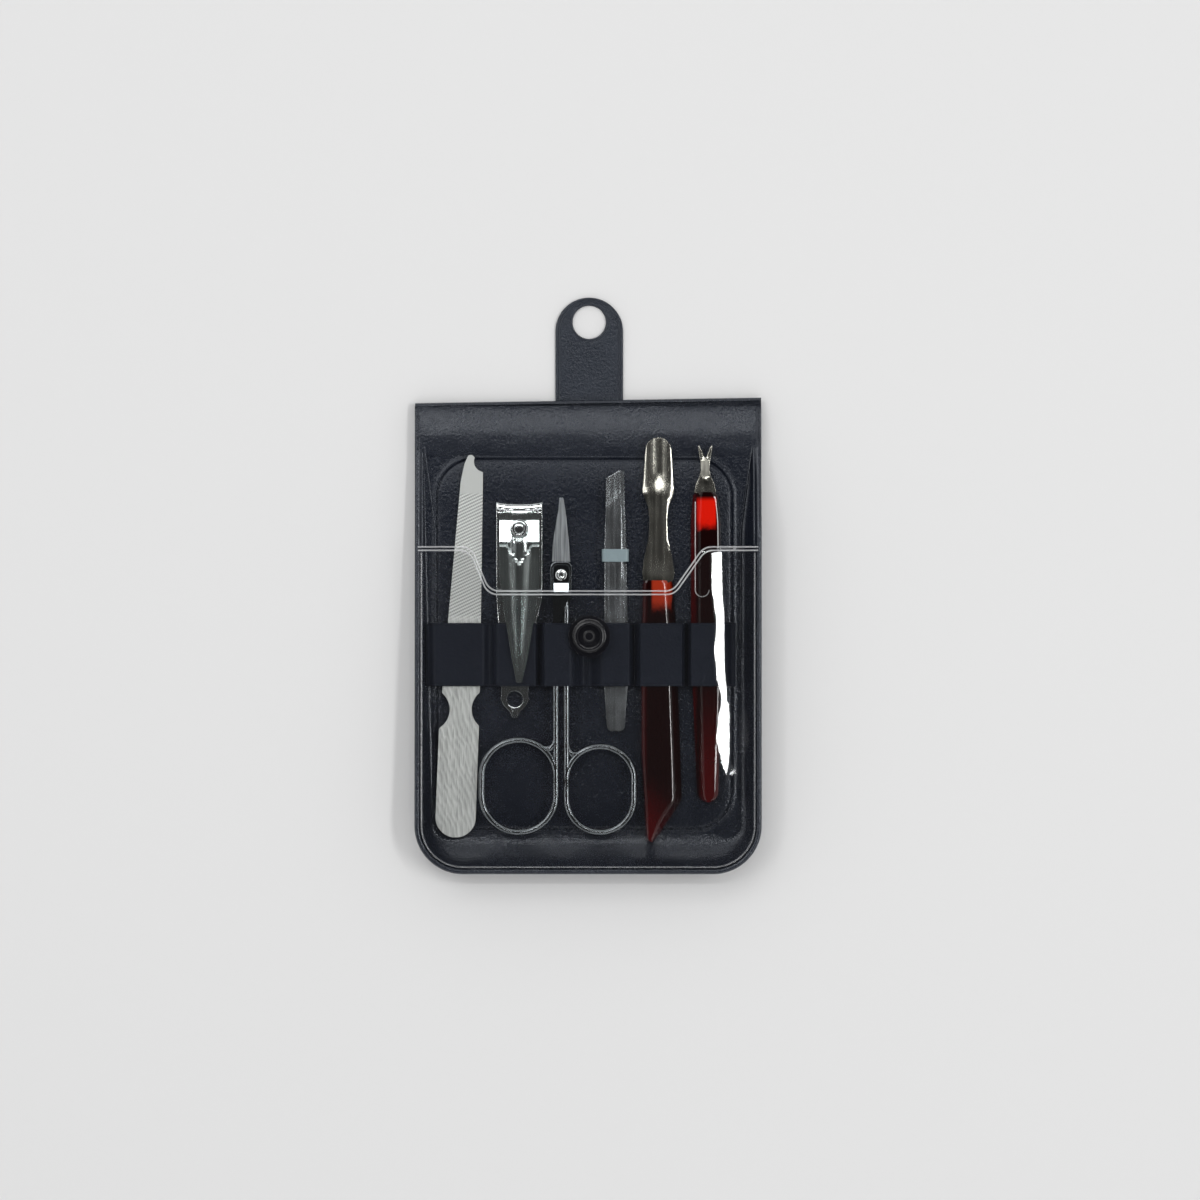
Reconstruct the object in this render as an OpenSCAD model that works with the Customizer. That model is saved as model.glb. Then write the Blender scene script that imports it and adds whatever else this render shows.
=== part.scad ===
// Manicure set in a vinyl case: a padded back with a clear front pocket, a strap
// of sewn loops that holds six small tools, and a flap whose tab buttons shut.
// The case lies on its back: X runs across it, Y from its foot to the tab, Z up
// out of its front. All lengths are millimetres.

/* [Case] */
// Width over the rims
case_w = 93; // [90:0.5:100]
// Length from the foot to the fold that the flap turns on
case_l = 117.7; // [117.7:0.1:124]
// Radius of the two rounded corners at the foot
foot_r = 13; // [8:0.5:20]
// Thickness of a vinyl sheet
vinyl_t = 0.6; // [0.5:0.05:0.7]
// Thickness of the card that stiffens the back
card_t = 1; // [0.8:0.1:1.2]
// Thickness of the foam under the lining
foam_t = 0.9; // [0.8:0.1:1.4]
// Margin between the rim and the card and foam
core_margin = 0.8; // [0.5:0.1:2]
// Width of the welded rim
rim_w = 2.2; // [1.8:0.1:3]
// Depth of the pocket, from the lining to the clear sheet
pocket_depth = 6; // [6:0.1:7]
// Place along the case where the rim starts to slope down
rim_slope_y = 92; // [88:1:96]
// Place along the case where the rim ends
rim_end_y = 115; // [110:1:116.5]

/* [Padded panel] */
// Width of the padded panel inside its weld line
pad_w = 78.8; // [76:0.2:80]
// Foot end of the padded panel
pad_foot_y = 12.1; // [10:0.1:14]
// Top end of the padded panel
pad_top_y = 111; // [108:0.5:113]
// Corner radius of the padded panel
pad_r = 10; // [8:0.5:12]
// Shift of the padded panel off the middle of the case
pad_x = -1; // [-1.5:0.1:0]
// Height that the padding stands over the lining
pad_crown = 0.7; // [0.4:0.05:0.8]
// How far each side of the padding draws in between its corners
pad_draw = 0.5; // [0:0.1:1]

/* [Clear pocket] */
// Thickness of the clear sheet
clear_t = 0.5; // [0.3:0.05:0.5]
// Height of the pocket's mouth at its middle
mouth_y = 76; // [74:0.5:77]
// Height of the pocket's mouth at its two shoulders
shoulder_y = 87.8; // [84:0.5:88]
// Left end of the low middle of the mouth
mouth_left = -26.3; // [-30:0.1:-24]
// Right end of the low middle of the mouth
mouth_right = 22.6; // [20:0.1:26]
// Left end of the sloping part of the mouth
slope_left = -31.2; // [-36:0.1:-31]
// Right end of the sloping part of the mouth
slope_right = 30.9; // [30:0.1:34]
// Height of the welded bead along the mouth
mouth_bead_h = 0.25; // [0.1:0.05:0.3]
// Width of the welded bead along the mouth
mouth_bead_w = 1.2; // [0.8:0.1:1.6]

/* [Loop strap] */
// Lower edge of the strap
strap_y = 50.3; // [49.5:0.1:52]
// Width of the strap along the case
strap_w = 16.9; // [14:0.1:18]
// Thickness of the strap
strap_t = 0.4; // [0.3:0.05:0.4]
// Room between a tool and the strap over it
strap_gap = 0.3; // [0.2:0.05:0.35]
// Room between the strap's left end and the rim
strap_left_room = 1.1; // [0.8:0.1:1.5]
// Room between the strap's right end and the rim
strap_right_room = 4.7; // [4:0.1:5]
// Half the width of the weld between two loops, as a share of the room between them
strap_weld = 0.14; // [0.05:0.01:0.2]

/* [Button and tab] */
// Place of the button and the tab across the case
button_x = 0.3; // [-0.5:0.1:1]
// Place of the button along the case
button_y = 63.7; // [62:0.1:66]
// Radius of the button's flange
button_flange_r = 5.6; // [5:0.1:6]
// Thickness of the button's flange
button_flange_t = 0.4; // [0.3:0.05:0.4]
// Height of the button's head over its flange
button_head_h = 1.8; // [1:0.1:2.2]
// Radius of the dish in the button's head
button_dish_r = 2.8; // [2:0.1:3]
// Radius of the button's stem
button_stem_r = 1.5; // [1.2:0.1:1.8]
// Radius of the washer behind the clear sheet
washer_r = 3.6; // [3:0.1:3.8]
// Thickness of the washer
washer_t = 0.45; // [0.3:0.05:0.5]
// Radius of the hole in the tab
tab_hole_r = 4.45; // [4:0.05:4.8]
// Room between the tab's hole and the button's head
button_room = 0.25; // [0.2:0.05:0.3]
// Width of the tab
tab_w = 18.2; // [15:0.2:22]
// Distance from the flap's edge to the middle of the tab's hole
tab_hole_reach = 21.8; // [20:0.1:25]
// Band of vinyl that is left past the tab's hole
tab_end_band = 2.2; // [2:0.1:4]
// Length of the tab's root that is let into the flap
tab_root = 8; // [4:0.5:10]

/* [Flap] */
// Length of the flap's first panel, which is the top of the shut case
flap_top_l = 8.5; // [8.5:0.1:9]
// Room between two folded layers of the flap
fold_gap = 0.35; // [0.3:0.05:0.4]
// Room past half a sheet that two panels leave along a fold
crease_gap = 0.05; // [0.02:0.01:0.1]

/* [Nail file] */
// Thickness of the file
file_t = 1; // [0.8:0.1:1.2]
// Place of the file's rounded end across the case
file_x = -35.5; // [-35.6:0.1:-35.2]
// Lowest point of the file
file_y = 9.7; // [8:0.1:10.5]
// Length of the file
file_l = 102.8; // [101:0.1:104]
// Width of the file's rounded end
file_w = 10.8; // [10.4:0.1:11]
// Radius of the two notches that make the waist
file_notch_r = 5.8; // [5.4:0.1:6]

/* [Nail clipper] */
// Thickness of each of the clipper's arms
clipper_t = 0.8; // [0.6:0.05:0.8]
// Place of the clipper's pin across the case
clipper_x = -18.4; // [-18.6:0.1:-18.2]
// Width of the clipper's jaws
clipper_w = 12.3; // [11.6:0.1:12.4]
// Tail end of the clipper
clipper_y = 41.8; // [41.6:0.1:44]
// Length of the clipper
clipper_l = 57.7; // [56:0.1:59]
// Radius of the ring hole in the tail
ring_hole_r = 2.4; // [2.1:0.05:2.6]
// Distance of the pin from the jaws' edge
pin_setback = 7; // [6:0.1:8]
// Radius of the pin
pin_r = 1.1; // [1:0.05:1.2]
// Radius of the pin's head
pin_head_r = 2.4; // [2:0.1:2.6]
// Opening between the two jaws
jaw_gap = 1.1; // [0.9:0.05:1.2]
// Thickness of the lever
lever_t = 0.9; // [0.7:0.05:0.95]
// Length of the lever from the pin to its point
lever_l = 41.4; // [36:0.1:42]
// Width of the lever at its widest
lever_w = 10.6; // [9:0.1:11]

/* [Scissors] */
// Thickness of each of the two halves at the screw
half_t = 1; // [0.8:0.05:1]
// Place of the screw across the case
screw_x = -7.2; // [-7.4:0.05:-7]
// Place of the screw along the case
screw_y = 80.1; // [79.5:0.1:81]
// Length of the blades past the screw
blade_l = 20.7; // [18:0.1:23]
// Radius of the screw
screw_r = 0.9; // [0.7:0.05:1]
// Radius of the screw's head
screw_head_r = 1.4; // [1.2:0.05:1.6]
// Diameter of the wire of the shanks and finger rings
wire_d = 1.7; // [1.5:0.05:1.75]
// Distance between the middles of the two shanks
shank_gap = 2.85; // [2.8:0.05:2.9]
// Half width of the left finger ring, to the middle of its wire
left_ring_r = 9.9; // [9:0.1:10]
// Room between the right finger ring and the pusher
ring_room = 1; // [0.8:0.1:2]
// Length of the straight sides of the finger rings
ring_straight = 5.3; // [4:0.1:5.4]
// Lowest point of the finger rings
ring_foot_y = 10.3; // [9.8:0.1:10.4]
// How far the scissors open before the strap stops them, in degrees
scissor_open = 3; // [0:0.5:3.5]
// How far the scissors slide before their rings meet the strap
scissor_slide = 10; // [0:1:12]

/* [Tweezers] */
// Thickness of each of the tweezers' arms
arm_t = 0.7; // [0.6:0.05:0.7]
// Place of the tweezers across the case
tweezer_x = 7.3; // [7.2:0.1:7.4]
// Tail end of the tweezers
tweezer_y = 38.2; // [38.2:0.1:39]
// Length of the tweezers
tweezer_l = 70; // [68:0.1:71]
// Width of the arms at the collar
tweezer_w = 6; // [5.6:0.1:6.2]
// Opening between the tips
tip_gap = 1.6; // [1:0.1:1.7]
// Width of the collar over both arms
collar_w = 7.2; // [7:0.1:7.3]
// Length of the collar along the arms
collar_l = 3.4; // [2.5:0.1:4]
// Wall of the collar
collar_t = 0.35; // [0.25:0.05:0.35]

/* [Cuticle pusher] */
// Thickness of the pusher's handle
pusher_t = 3.4; // [3:0.1:3.5]
// Place of the pusher across the case
pusher_x = 19.6; // [19.5:0.1:19.8]
// Lowest point of the pusher's handle
pusher_y = 8.5; // [7:0.1:10]
// Length of the pusher's handle
pusher_handle_l = 70.1; // [68:0.1:71]
// Width of the pusher's handle
pusher_w = 11; // [10:0.1:11.2]
// Length of the pusher's blade past the handle
pusher_blade_l = 38.3; // [34:0.1:38.4]
// Width of the pusher's blade at its widest
pusher_blade_w = 8.6; // [8:0.1:8.8]
// Thickness of the pusher's blade
pusher_blade_t = 1.2; // [1:0.1:1.4]

/* [Cuticle trimmer] */
// Thickness of the trimmer's handle
trimmer_t = 3.2; // [2.8:0.1:3.3]
// Place of the trimmer across the case
trimmer_x = 31.8; // [31.6:0.1:31.9]
// Lowest point of the trimmer's handle
trimmer_y = 19.1; // [17:0.1:21]
// Length of the trimmer's handle
trimmer_handle_l = 83.1; // [81:0.1:84]
// Width of the trimmer's handle
trimmer_w = 8.4; // [8:0.1:8.5]
// Length of the forked blade past the handle
fork_l = 12.6; // [11:0.1:13]
// Width of the forked blade at the handle
fork_w = 6; // [5.6:0.1:6.2]
// Thickness of the forked blade
fork_t = 1; // [0.8:0.1:1.2]

/* [Hidden] */
$fn = 64;

// Reach of a cutter past the face that it cuts
cut = 1;
// Room between two pieces of one tool that are held together
seat_room = 0.02;
// Room round a piece that turns on a pin or screw
turn_room = 0.06;
// Room between two pieces that lie on each other and slide
slide_room = 0.05;
// Room between the padded panel and a tool that lies on it
rest_room = 0.2;

// Heights of the case's layers, from the table up
card_z = vinyl_t;
foam_z = card_z + card_t;
lining_z = foam_z + foam_t;
lining_top_z = lining_z + lining_t();
pad_top_z = lining_top_z + pad_crown;
clear_z = lining_top_z + pocket_depth;
tool_z = pad_top_z + rest_room;
function lining_t() = vinyl_t / 2;

// The flap's three panels lie in a fold on each other under the case's top end
fold_pitch = vinyl_t + fold_gap;
// A panel that swings right round the end of another passes this far inside the fold
fold_relief = vinyl_t + fold_gap / 2 + crease_gap;
hinge_relief = vinyl_t / 2 + crease_gap;
flap_z = lining_z - vinyl_t;
middle_z = flap_z - fold_pitch;
end_z = middle_z - fold_pitch;
fold_y = case_l + flap_top_l;
top_axis_z = flap_z + vinyl_t / 2;
outer_axis_z = (flap_z + middle_z + vinyl_t) / 2;
inner_axis_z = (middle_z + end_z + vinyl_t) / 2;
tab_hole_y = fold_y + tab_hole_reach;
tab_end_y = tab_hole_y + tab_hole_r + tab_end_band;
// The folded length is what brings the tab's hole over the button when it is shut
flap_under_l = (case_l + fold_y + fold_pitch / 2 - tab_hole_y - button_y) / 2;
inner_fold_y = fold_y - flap_under_l;
overall_l = tab_end_y;

// The back sheet climbs to the flap's level before the folded layers start
ramp_top_y = inner_fold_y - 1;
ramp_l = 5.4;
core_top_y = ramp_top_y - ramp_l - core_margin;
inner_w = case_w - 2 * rim_w;

// Inner width that the tools' places across the case are given for
lanes_w = 88.6;
// The tools keep their shares of the case's width when the case gets wider or narrower
function lane(x) = x * inner_w / lanes_w;
file_lane = lane(file_x);
clipper_lane = lane(clipper_x);
screw_lane = lane(screw_x);
tweezer_lane = lane(tweezer_x);
pusher_lane = lane(pusher_x);
trimmer_lane = lane(trimmer_x);

/* ---- shapes shared by several pieces ---- */

// Puts the part's own origin under the middle of its whole length
module in_frame() {
    translate([0, -overall_l / 2, 0]) children();
}

// A flat piece cut from a plan outline
module plate(z, t) {
    translate([0, 0, z]) linear_extrude(t) children();
}

// A solid with one outline of [y, z] points all the way across
module across(points, width, x = 0) {
    translate([x, 0, 0]) rotate([90, 0, 90])
        linear_extrude(width, center = true) polygon(points);
}

// A solid with one outline of [x, z] points all the way along
module along(points, y, length) {
    translate([0, y + length, 0]) rotate([90, 0, 0]) linear_extrude(length) polygon(points);
}

// An outline with both foot corners rounded
module foot_outline(width, foot, top, r) {
    translate([-width / 2, foot + r]) square([width, top - foot - r]);
    translate([-width / 2 + r, foot]) square([width - 2 * r, r + 0.01]);
    for (side = [-1, 1]) translate([side * (width / 2 - r), foot + r]) circle(r);
}

// A bar with round edges: width across, t high, that a plan outline then trims
module round_bar(x, z, width, t, y, length) {
    for (side = [-1, 1])
        translate([x + side * (width - t) / 2, y + length, z + t / 2]) rotate([90, 0, 0])
            cylinder(r = t / 2, h = length);
    translate([x - (width - t) / 2, y, z]) cube([width - t, length, t]);
}

/* ---- the case ---- */

module back_cover() {
    color("#1c1e26") in_frame() intersection() {
        plate(0, lining_z) foot_outline(case_w, 0, case_l - hinge_relief, foot_r);
        across([
            [0, 0], [ramp_top_y - ramp_l, 0], [ramp_top_y, flap_z], [case_l, flap_z],
            [case_l, flap_z + vinyl_t], [ramp_top_y, flap_z + vinyl_t],
            [ramp_top_y - ramp_l, vinyl_t], [0, vinyl_t]
        ], case_w);
    }
}

module stiffener_card() {
    color("#8a7a60") in_frame() plate(card_z, card_t)
        foot_outline(inner_w - 2 * core_margin, rim_w + core_margin, core_top_y,
            foot_r - rim_w - core_margin);
}

module foam_sheet() {
    color("#b8b8b0") in_frame() plate(foam_z, foam_t)
        foot_outline(inner_w - 2 * core_margin, rim_w + core_margin, core_top_y,
            foot_r - rim_w - core_margin);
}

module liner_sheet() {
    color("#1a1c24") in_frame() plate(lining_z, lining_t())
        foot_outline(inner_w - 2 * slide_room, rim_w + slide_room, case_l - vinyl_t,
            foot_r - rim_w);
}

// Points of the padded panel's outline: a rounded rectangle whose straight sides draw in
pad_steps = 8;
pad_l = pad_top_y - pad_foot_y;
pad_side_steps = 6;
function pad_corner(sx, sy, a) = [
    sx * (pad_w / 2 - pad_r) + pad_r * cos(a), sy * (pad_l / 2 - pad_r) + pad_r * sin(a)
];
function pad_side(p, q, in) = [
    for (i = [1 : pad_side_steps - 1])
        let (f = i / pad_side_steps) p + (q - p) * f + in * pad_draw * sin(180 * f)
];
function pad_turn(sx, sy, from) = [
    for (i = [0 : pad_steps]) pad_corner(sx, sy, from + 90 * i / pad_steps)
];
function pad_outline() = concat(
    pad_turn(1, 1, 0),
    pad_side(pad_corner(1, 1, 90), pad_corner(-1, 1, 90), [0, -1]),
    pad_turn(-1, 1, 90),
    pad_side(pad_corner(-1, 1, 180), pad_corner(-1, -1, 180), [1, 0]),
    pad_turn(-1, -1, 180),
    pad_side(pad_corner(-1, -1, 270), pad_corner(1, -1, 270), [0, 1]),
    pad_turn(1, -1, 270),
    pad_side(pad_corner(1, -1, 360), pad_corner(1, 1, 0), [-1, 0])
);

// The padding swells steeply from its weld and is nearly level over its middle
module padded_panel() {
    outline = pad_outline();
    count = len(outline);
    rings = 8;
    // Each ring lies further in than the one before, and higher
    function inset(i) = 1 - pow(i / rings, 1.6) * 0.85;
    function swell(i) = pad_crown * (0.35 + 0.65 * sin(90 * i / rings));
    tops = [for (i = [0 : rings]) for (p = outline)
        [p[0] * inset(i), p[1] * (1 - (1 - inset(i)) * pad_w / pad_l), i == 0 ? pad_crown * 0.2 : swell(i)]];
    base = [for (p = outline) [p[0], p[1], 0]];
    points = concat(tops, base, [[0, 0, pad_crown], [0, 0, 0]]);
    top_middle = (rings + 2) * count;
    base_start = (rings + 1) * count;
    faces = concat(
        [for (i = [0 : rings - 1]) for (j = [0 : count - 1]) let (k = (j + 1) % count)
            [i * count + j, (i + 1) * count + j, (i + 1) * count + k]],
        [for (i = [0 : rings - 1]) for (j = [0 : count - 1]) let (k = (j + 1) % count)
            [i * count + j, (i + 1) * count + k, i * count + k]],
        [for (j = [0 : count - 1]) [rings * count + j, top_middle, rings * count + (j + 1) % count]],
        [for (j = [0 : count - 1]) [base_start + j, j, j + 1 == count ? 0 : j + 1]],
        [for (j = [0 : count - 1]) let (k = (j + 1) % count) [base_start + j, k, base_start + k]],
        [for (j = [0 : count - 1]) [base_start + j, base_start + (j + 1) % count, top_middle + 1]]
    );
    color("#1e2029") in_frame()
        translate([pad_x, (pad_foot_y + pad_top_y) / 2, lining_top_z]) polyhedron(points, faces);
}

module edge_rim() {
    rim_foot_z = flap_z + vinyl_t;
    color("#20232c") in_frame() intersection() {
        plate(0, clear_z) difference() {
            foot_outline(case_w, 0, rim_end_y, foot_r);
            foot_outline(inner_w, rim_w, rim_end_y + cut, foot_r - rim_w);
        }
        across([
            [-cut, vinyl_t], [ramp_top_y - ramp_l, vinyl_t], [ramp_top_y, rim_foot_z],
            [rim_end_y + cut, rim_foot_z], [rim_end_y + cut, lining_top_z],
            [rim_slope_y, clear_z], [-cut, clear_z]
        ], case_w + cut);
    }
}

// Outline of the clear front: low in the middle of its mouth, high at the shoulders
module front_outline(inset = 0) {
    intersection() {
        foot_outline(case_w, 0, shoulder_y, foot_r);
        polygon([
            [-case_w, -cut], [case_w, -cut], [case_w, shoulder_y - inset],
            [lane(slope_right) + inset / 2, shoulder_y - inset],
            [lane(mouth_right) + inset / 2, mouth_y - inset],
            [lane(mouth_left) - inset / 2, mouth_y - inset],
            [lane(slope_left) - inset / 2, shoulder_y - inset],
            [-case_w, shoulder_y - inset]
        ]);
    }
}

module clear_pocket() {
    color("#dfe6ea", 0.3) in_frame() difference() {
        union() {
            plate(clear_z, clear_t) front_outline();
            plate(clear_z, clear_t + mouth_bead_h) difference() {
                front_outline();
                front_outline(mouth_bead_w);
            }
        }
        translate([button_x, button_y, clear_z - cut])
            cylinder(r = button_stem_r + seat_room, h = clear_t + 2 * cut);
    }
}

/* ---- the strap, whose humps follow the tools under it ---- */

file_top_z = tool_z + file_t;
// Place where the clipper's two arms part
wedge_y = 50;
// Depth of the clipper's lower jaw, which turns up to the upper one
jaw_hook = 0.5;
// Height of the scissors over the tools on the lining, whose ends their rings cross
scissor_lift = 2.1;
upper_arm_z = tool_z + clipper_t;
clipper_top_y = clipper_y + clipper_l;
pin_y = clipper_top_y - pin_setback;
clipper_slope = (jaw_gap + jaw_hook) / (clipper_top_y - wedge_y);
function upper_arm_top(y) = upper_arm_z + clipper_t + clipper_slope * max(0, y - wedge_y);
scissor_z = tool_z + scissor_lift;
scissor_top_z = scissor_z + 2 * half_t;
wire_z = scissor_z + half_t;
tweezer_z = tool_z + collar_t + slide_room;
tweezer_hinge_y = tweezer_y + 8;
tweezer_tip_y = tweezer_y + tweezer_l;
tweezer_slope = tip_gap / (tweezer_tip_y - tweezer_hinge_y);
function tweezer_top(y) = tweezer_z + 2 * arm_t + tweezer_slope * max(0, y - tweezer_hinge_y);

strap_top_y = strap_y + strap_w;
strap_left_x = -inner_w / 2 + strap_left_room;
strap_right_x = inner_w / 2 - strap_right_room;
strap_foot_z = lining_top_z + pad_crown;
left_shank_x = screw_lane - shank_gap / 2;
right_shank_x = screw_lane + shank_gap / 2;
// The right finger ring fills the width between its shank and the pusher
right_ring_r = (pusher_lane - pusher_w / 2 - ring_room - wire_d / 2 - right_shank_x) / 2;
// How far the left shank swings out at the strap's lower edge when the scissors open
shank_swing = (screw_y + scissor_slide - strap_y) * tan(scissor_open);

// One hump per tool: [left, right, height of its underside]
humps = [
    [file_lane - 5.5, file_lane + 7.4, file_top_z + strap_gap],
    [clipper_lane - 5.9, clipper_lane + 4.6, upper_arm_top(strap_top_y) + strap_gap],
    [left_shank_x - wire_d / 2 - shank_swing - strap_gap, right_shank_x + wire_d / 2 + strap_gap,
        scissor_top_z + strap_gap],
    [tweezer_lane - 3.5, tweezer_lane + 3.9, tweezer_top(strap_top_y) + strap_gap],
    [pusher_lane - pusher_w / 2 - strap_gap, pusher_lane + pusher_w / 2 + strap_gap,
        tool_z + pusher_t + strap_gap],
    [trimmer_lane - trimmer_w / 2 - strap_gap, trimmer_lane + trimmer_w / 2 + strap_gap,
        tool_z + trimmer_t + strap_gap]
];

module loop_strap() {
    last = len(humps) - 1;
    // Where the strap's top meets the weld on each side of a hump, halfway to the next one
    function weld_half(a, b) = (b - a) * strap_weld;
    function foot_left(i) = i == 0 ? strap_left_x + strap_t
        : (humps[i - 1][1] + humps[i][0]) / 2 + weld_half(humps[i - 1][1], humps[i][0]);
    function foot_right(i) = i == last ? min(strap_right_x - strap_t, humps[i][1] + 2)
        : (humps[i][1] + humps[i + 1][0]) / 2 - weld_half(humps[i][1], humps[i + 1][0]);
    outer = [for (i = [0 : last]) let (h = humps[i]) for (p = [
        [foot_left(i), strap_foot_z + strap_t], [h[0] - strap_t / 2, h[2] + strap_t],
        [h[1] + strap_t / 2, h[2] + strap_t], [foot_right(i), strap_foot_z + strap_t]
    ]) p];
    inner = [for (i = [last : -1 : 0]) let (h = humps[i]) for (p = [
        [foot_right(i) - strap_t, strap_foot_z], [h[1], h[2]], [h[0], h[2]],
        [foot_left(i) + strap_t, strap_foot_z]
    ]) p];
    color("#24262c") in_frame() along(concat(
        [[strap_left_x, strap_foot_z], [strap_left_x, strap_foot_z + strap_t]], outer,
        [[strap_right_x, strap_foot_z + strap_t], [strap_right_x, strap_foot_z]], inner
    ), strap_y, strap_w);
}

/* ---- the button ---- */

module button_cap() {
    head_r = tab_hole_r - button_room;
    head_z = clear_t + button_flange_t;
    color("#101116") in_frame() translate([button_x, button_y, clear_z]) rotate_extrude()
        polygon([
            [0, -washer_t], [button_stem_r, -washer_t], [button_stem_r, clear_t],
            [button_flange_r, clear_t], [button_flange_r, head_z - 0.1],
            [button_flange_r - 0.2, head_z], [head_r, head_z],
            [head_r, head_z + button_head_h - 0.5], [head_r - 0.5, head_z + button_head_h],
            [button_dish_r + 0.4, head_z + button_head_h], [button_dish_r, head_z + button_head_h - 0.8],
            [1.4, head_z + button_head_h - 0.8], [1.1, head_z + button_head_h - 0.5],
            [0, head_z + button_head_h - 0.5]
        ]);
}

module button_washer() {
    color("#15161b") in_frame() translate([button_x, button_y, clear_z - washer_t]) difference() {
        cylinder(r = washer_r, h = washer_t);
        translate([0, 0, -cut]) cylinder(r = button_stem_r + seat_room, h = washer_t + 2 * cut);
    }
}

/* ---- the flap and its tab ---- */

module flap_panel(y, length, z) {
    translate([-case_w / 2, y, z]) cube([case_w, length, vinyl_t]);
}

module flap_top() {
    color("#22252e") in_frame()
        flap_panel(case_l + crease_gap, flap_top_l - fold_relief - crease_gap, flap_z);
}

module flap_middle() {
    color("#191b22") in_frame() flap_panel(inner_fold_y, flap_under_l, middle_z);
}

module flap_end() {
    color("#191b22") in_frame() difference() {
        flap_panel(inner_fold_y, flap_under_l, end_z);
        translate([button_x - tab_w / 2, fold_y - tab_root, end_z - cut])
            cube([tab_w, tab_root + cut, vinyl_t + 2 * cut]);
    }
}

module closing_tab() {
    color("#2a2d37") in_frame() plate(end_z, vinyl_t) difference() {
        union() {
            translate([button_x - tab_w / 2, fold_y - tab_root])
                square([tab_w, tab_end_y - tab_w / 2 - fold_y + tab_root]);
            translate([button_x, tab_end_y - tab_w / 2]) circle(tab_w / 2);
        }
        translate([button_x, tab_hole_y]) circle(tab_hole_r);
    }
}

/* ---- the nail file ---- */

module nail_file() {
    end_r = file_w / 2;
    waist_y = file_y + file_l * 0.334;
    blade_y = file_y + file_l * 0.395;
    hook_y = file_y + file_l * 0.933;
    tip_y = file_y + file_l;
    color("#b9bcb8") in_frame() plate(tool_z, file_t) translate([file_lane, 0]) difference() {
        union() {
            translate([0, file_y + end_r]) circle(end_r);
            polygon([
                [-end_r, file_y + end_r], [end_r, file_y + end_r],
                [end_r * 1.148, waist_y - file_notch_r], [end_r * 1.204, blade_y],
                [end_r * 1.352, hook_y], [end_r * 1.352, tip_y - end_r * 0.87],
                [end_r * 1.185, tip_y - end_r * 0.407], [end_r * 0.852, tip_y - end_r * 0.074],
                [end_r * 0.741, tip_y], [end_r * 0.611, tip_y - end_r * 0.093],
                [end_r * 0.444, tip_y - end_r * 0.481], [end_r * 0.259, hook_y],
                [end_r * -0.389, file_y + file_l * 0.559], [end_r * -0.648, blade_y],
                [end_r * -0.833, waist_y - file_notch_r]
            ]);
        }
        translate([end_r * -0.296 - file_notch_r, waist_y]) circle(file_notch_r);
        translate([end_r * 0.796 + file_notch_r, waist_y]) circle(file_notch_r);
        translate([end_r * 1.426, tip_y - end_r * 0.37]) circle(end_r * 0.519);
    }
}

/* ---- the nail clipper ---- */

tail_x = clipper_lane - 1.2;
tail_ring_y = clipper_y + 5;
rivet_y = clipper_y + 1.35;
rivet_r = 0.55;
rivet_room = 0.2;

// The plan of both arms, t thick: a body that narrows to a tail with a ring hole and a rivet
module clipper_blank(z, t) {
    ring_r = ring_hole_r + 1.4;
    difference() {
        union() {
            plate(z, t) polygon([
                [clipper_lane - clipper_w / 2, clipper_top_y], [clipper_lane + clipper_w / 2, clipper_top_y],
                [clipper_lane + clipper_w / 2, clipper_top_y - 26], [clipper_lane + 4.3, strap_top_y],
                [clipper_lane + 2.4, wedge_y + 1], [tail_x + ring_r - 0.5, tail_ring_y + 1.6],
                [tail_x - ring_r + 0.5, tail_ring_y + 1.6], [clipper_lane - 4.7, wedge_y + 1],
                [clipper_lane - 5.6, strap_top_y], [clipper_lane - clipper_w / 2, clipper_top_y - 26]
            ]);
            translate([tail_x, tail_ring_y, z]) cylinder(r = ring_r, h = t);
            translate([tail_x, rivet_y, z]) cylinder(r = rivet_y - clipper_y, h = t);
        }
        translate([tail_x, tail_ring_y, z - cut]) cylinder(r = ring_hole_r, h = t + 2 * cut);
        translate([tail_x, rivet_y, z - cut]) cylinder(r = rivet_r + seat_room, h = t + 2 * cut);
    }
}

module clipper_lower_arm() {
    hook = 2.6;
    color("#c8ccce") in_frame() difference() {
        intersection() {
            clipper_blank(tool_z, clipper_t + jaw_hook);
            across([
                [clipper_y - cut, tool_z], [clipper_top_y - hook, tool_z],
                [clipper_top_y, tool_z + clipper_t * 0.6], [clipper_top_y, tool_z + clipper_t + jaw_hook],
                [clipper_top_y - hook, tool_z + clipper_t], [clipper_y - cut, tool_z + clipper_t]
            ], 2 * clipper_w, clipper_lane);
        }
        translate([clipper_lane, pin_y, tool_z - cut])
            cylinder(r = pin_r + seat_room, h = clipper_t + 2 * cut);
    }
}

module clipper_upper_arm() {
    hook = 3.4;
    crest_y = clipper_top_y - hook;
    function underside(y) = upper_arm_top(y) - clipper_t;
    jaw_z = tool_z + clipper_t + jaw_hook + jaw_gap;
    color("#d2d6d8") in_frame() difference() {
        intersection() {
            clipper_blank(upper_arm_z, jaw_hook + jaw_gap + 2 * clipper_t);
            across([
                [clipper_y - cut, upper_arm_z], [wedge_y, upper_arm_z], [crest_y, underside(crest_y)],
                [clipper_top_y, jaw_z], [clipper_top_y, jaw_z + 0.5],
                [crest_y, underside(crest_y) + clipper_t], [wedge_y, upper_arm_z + clipper_t],
                [clipper_y - cut, upper_arm_z + clipper_t]
            ], 2 * clipper_w, clipper_lane);
        }
        translate([clipper_lane, pin_y, upper_arm_z - cut]) cylinder(r = pin_r + 0.4, h = 6);
    }
}

lever_z = upper_arm_top(clipper_top_y) + 0.3;

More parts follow.
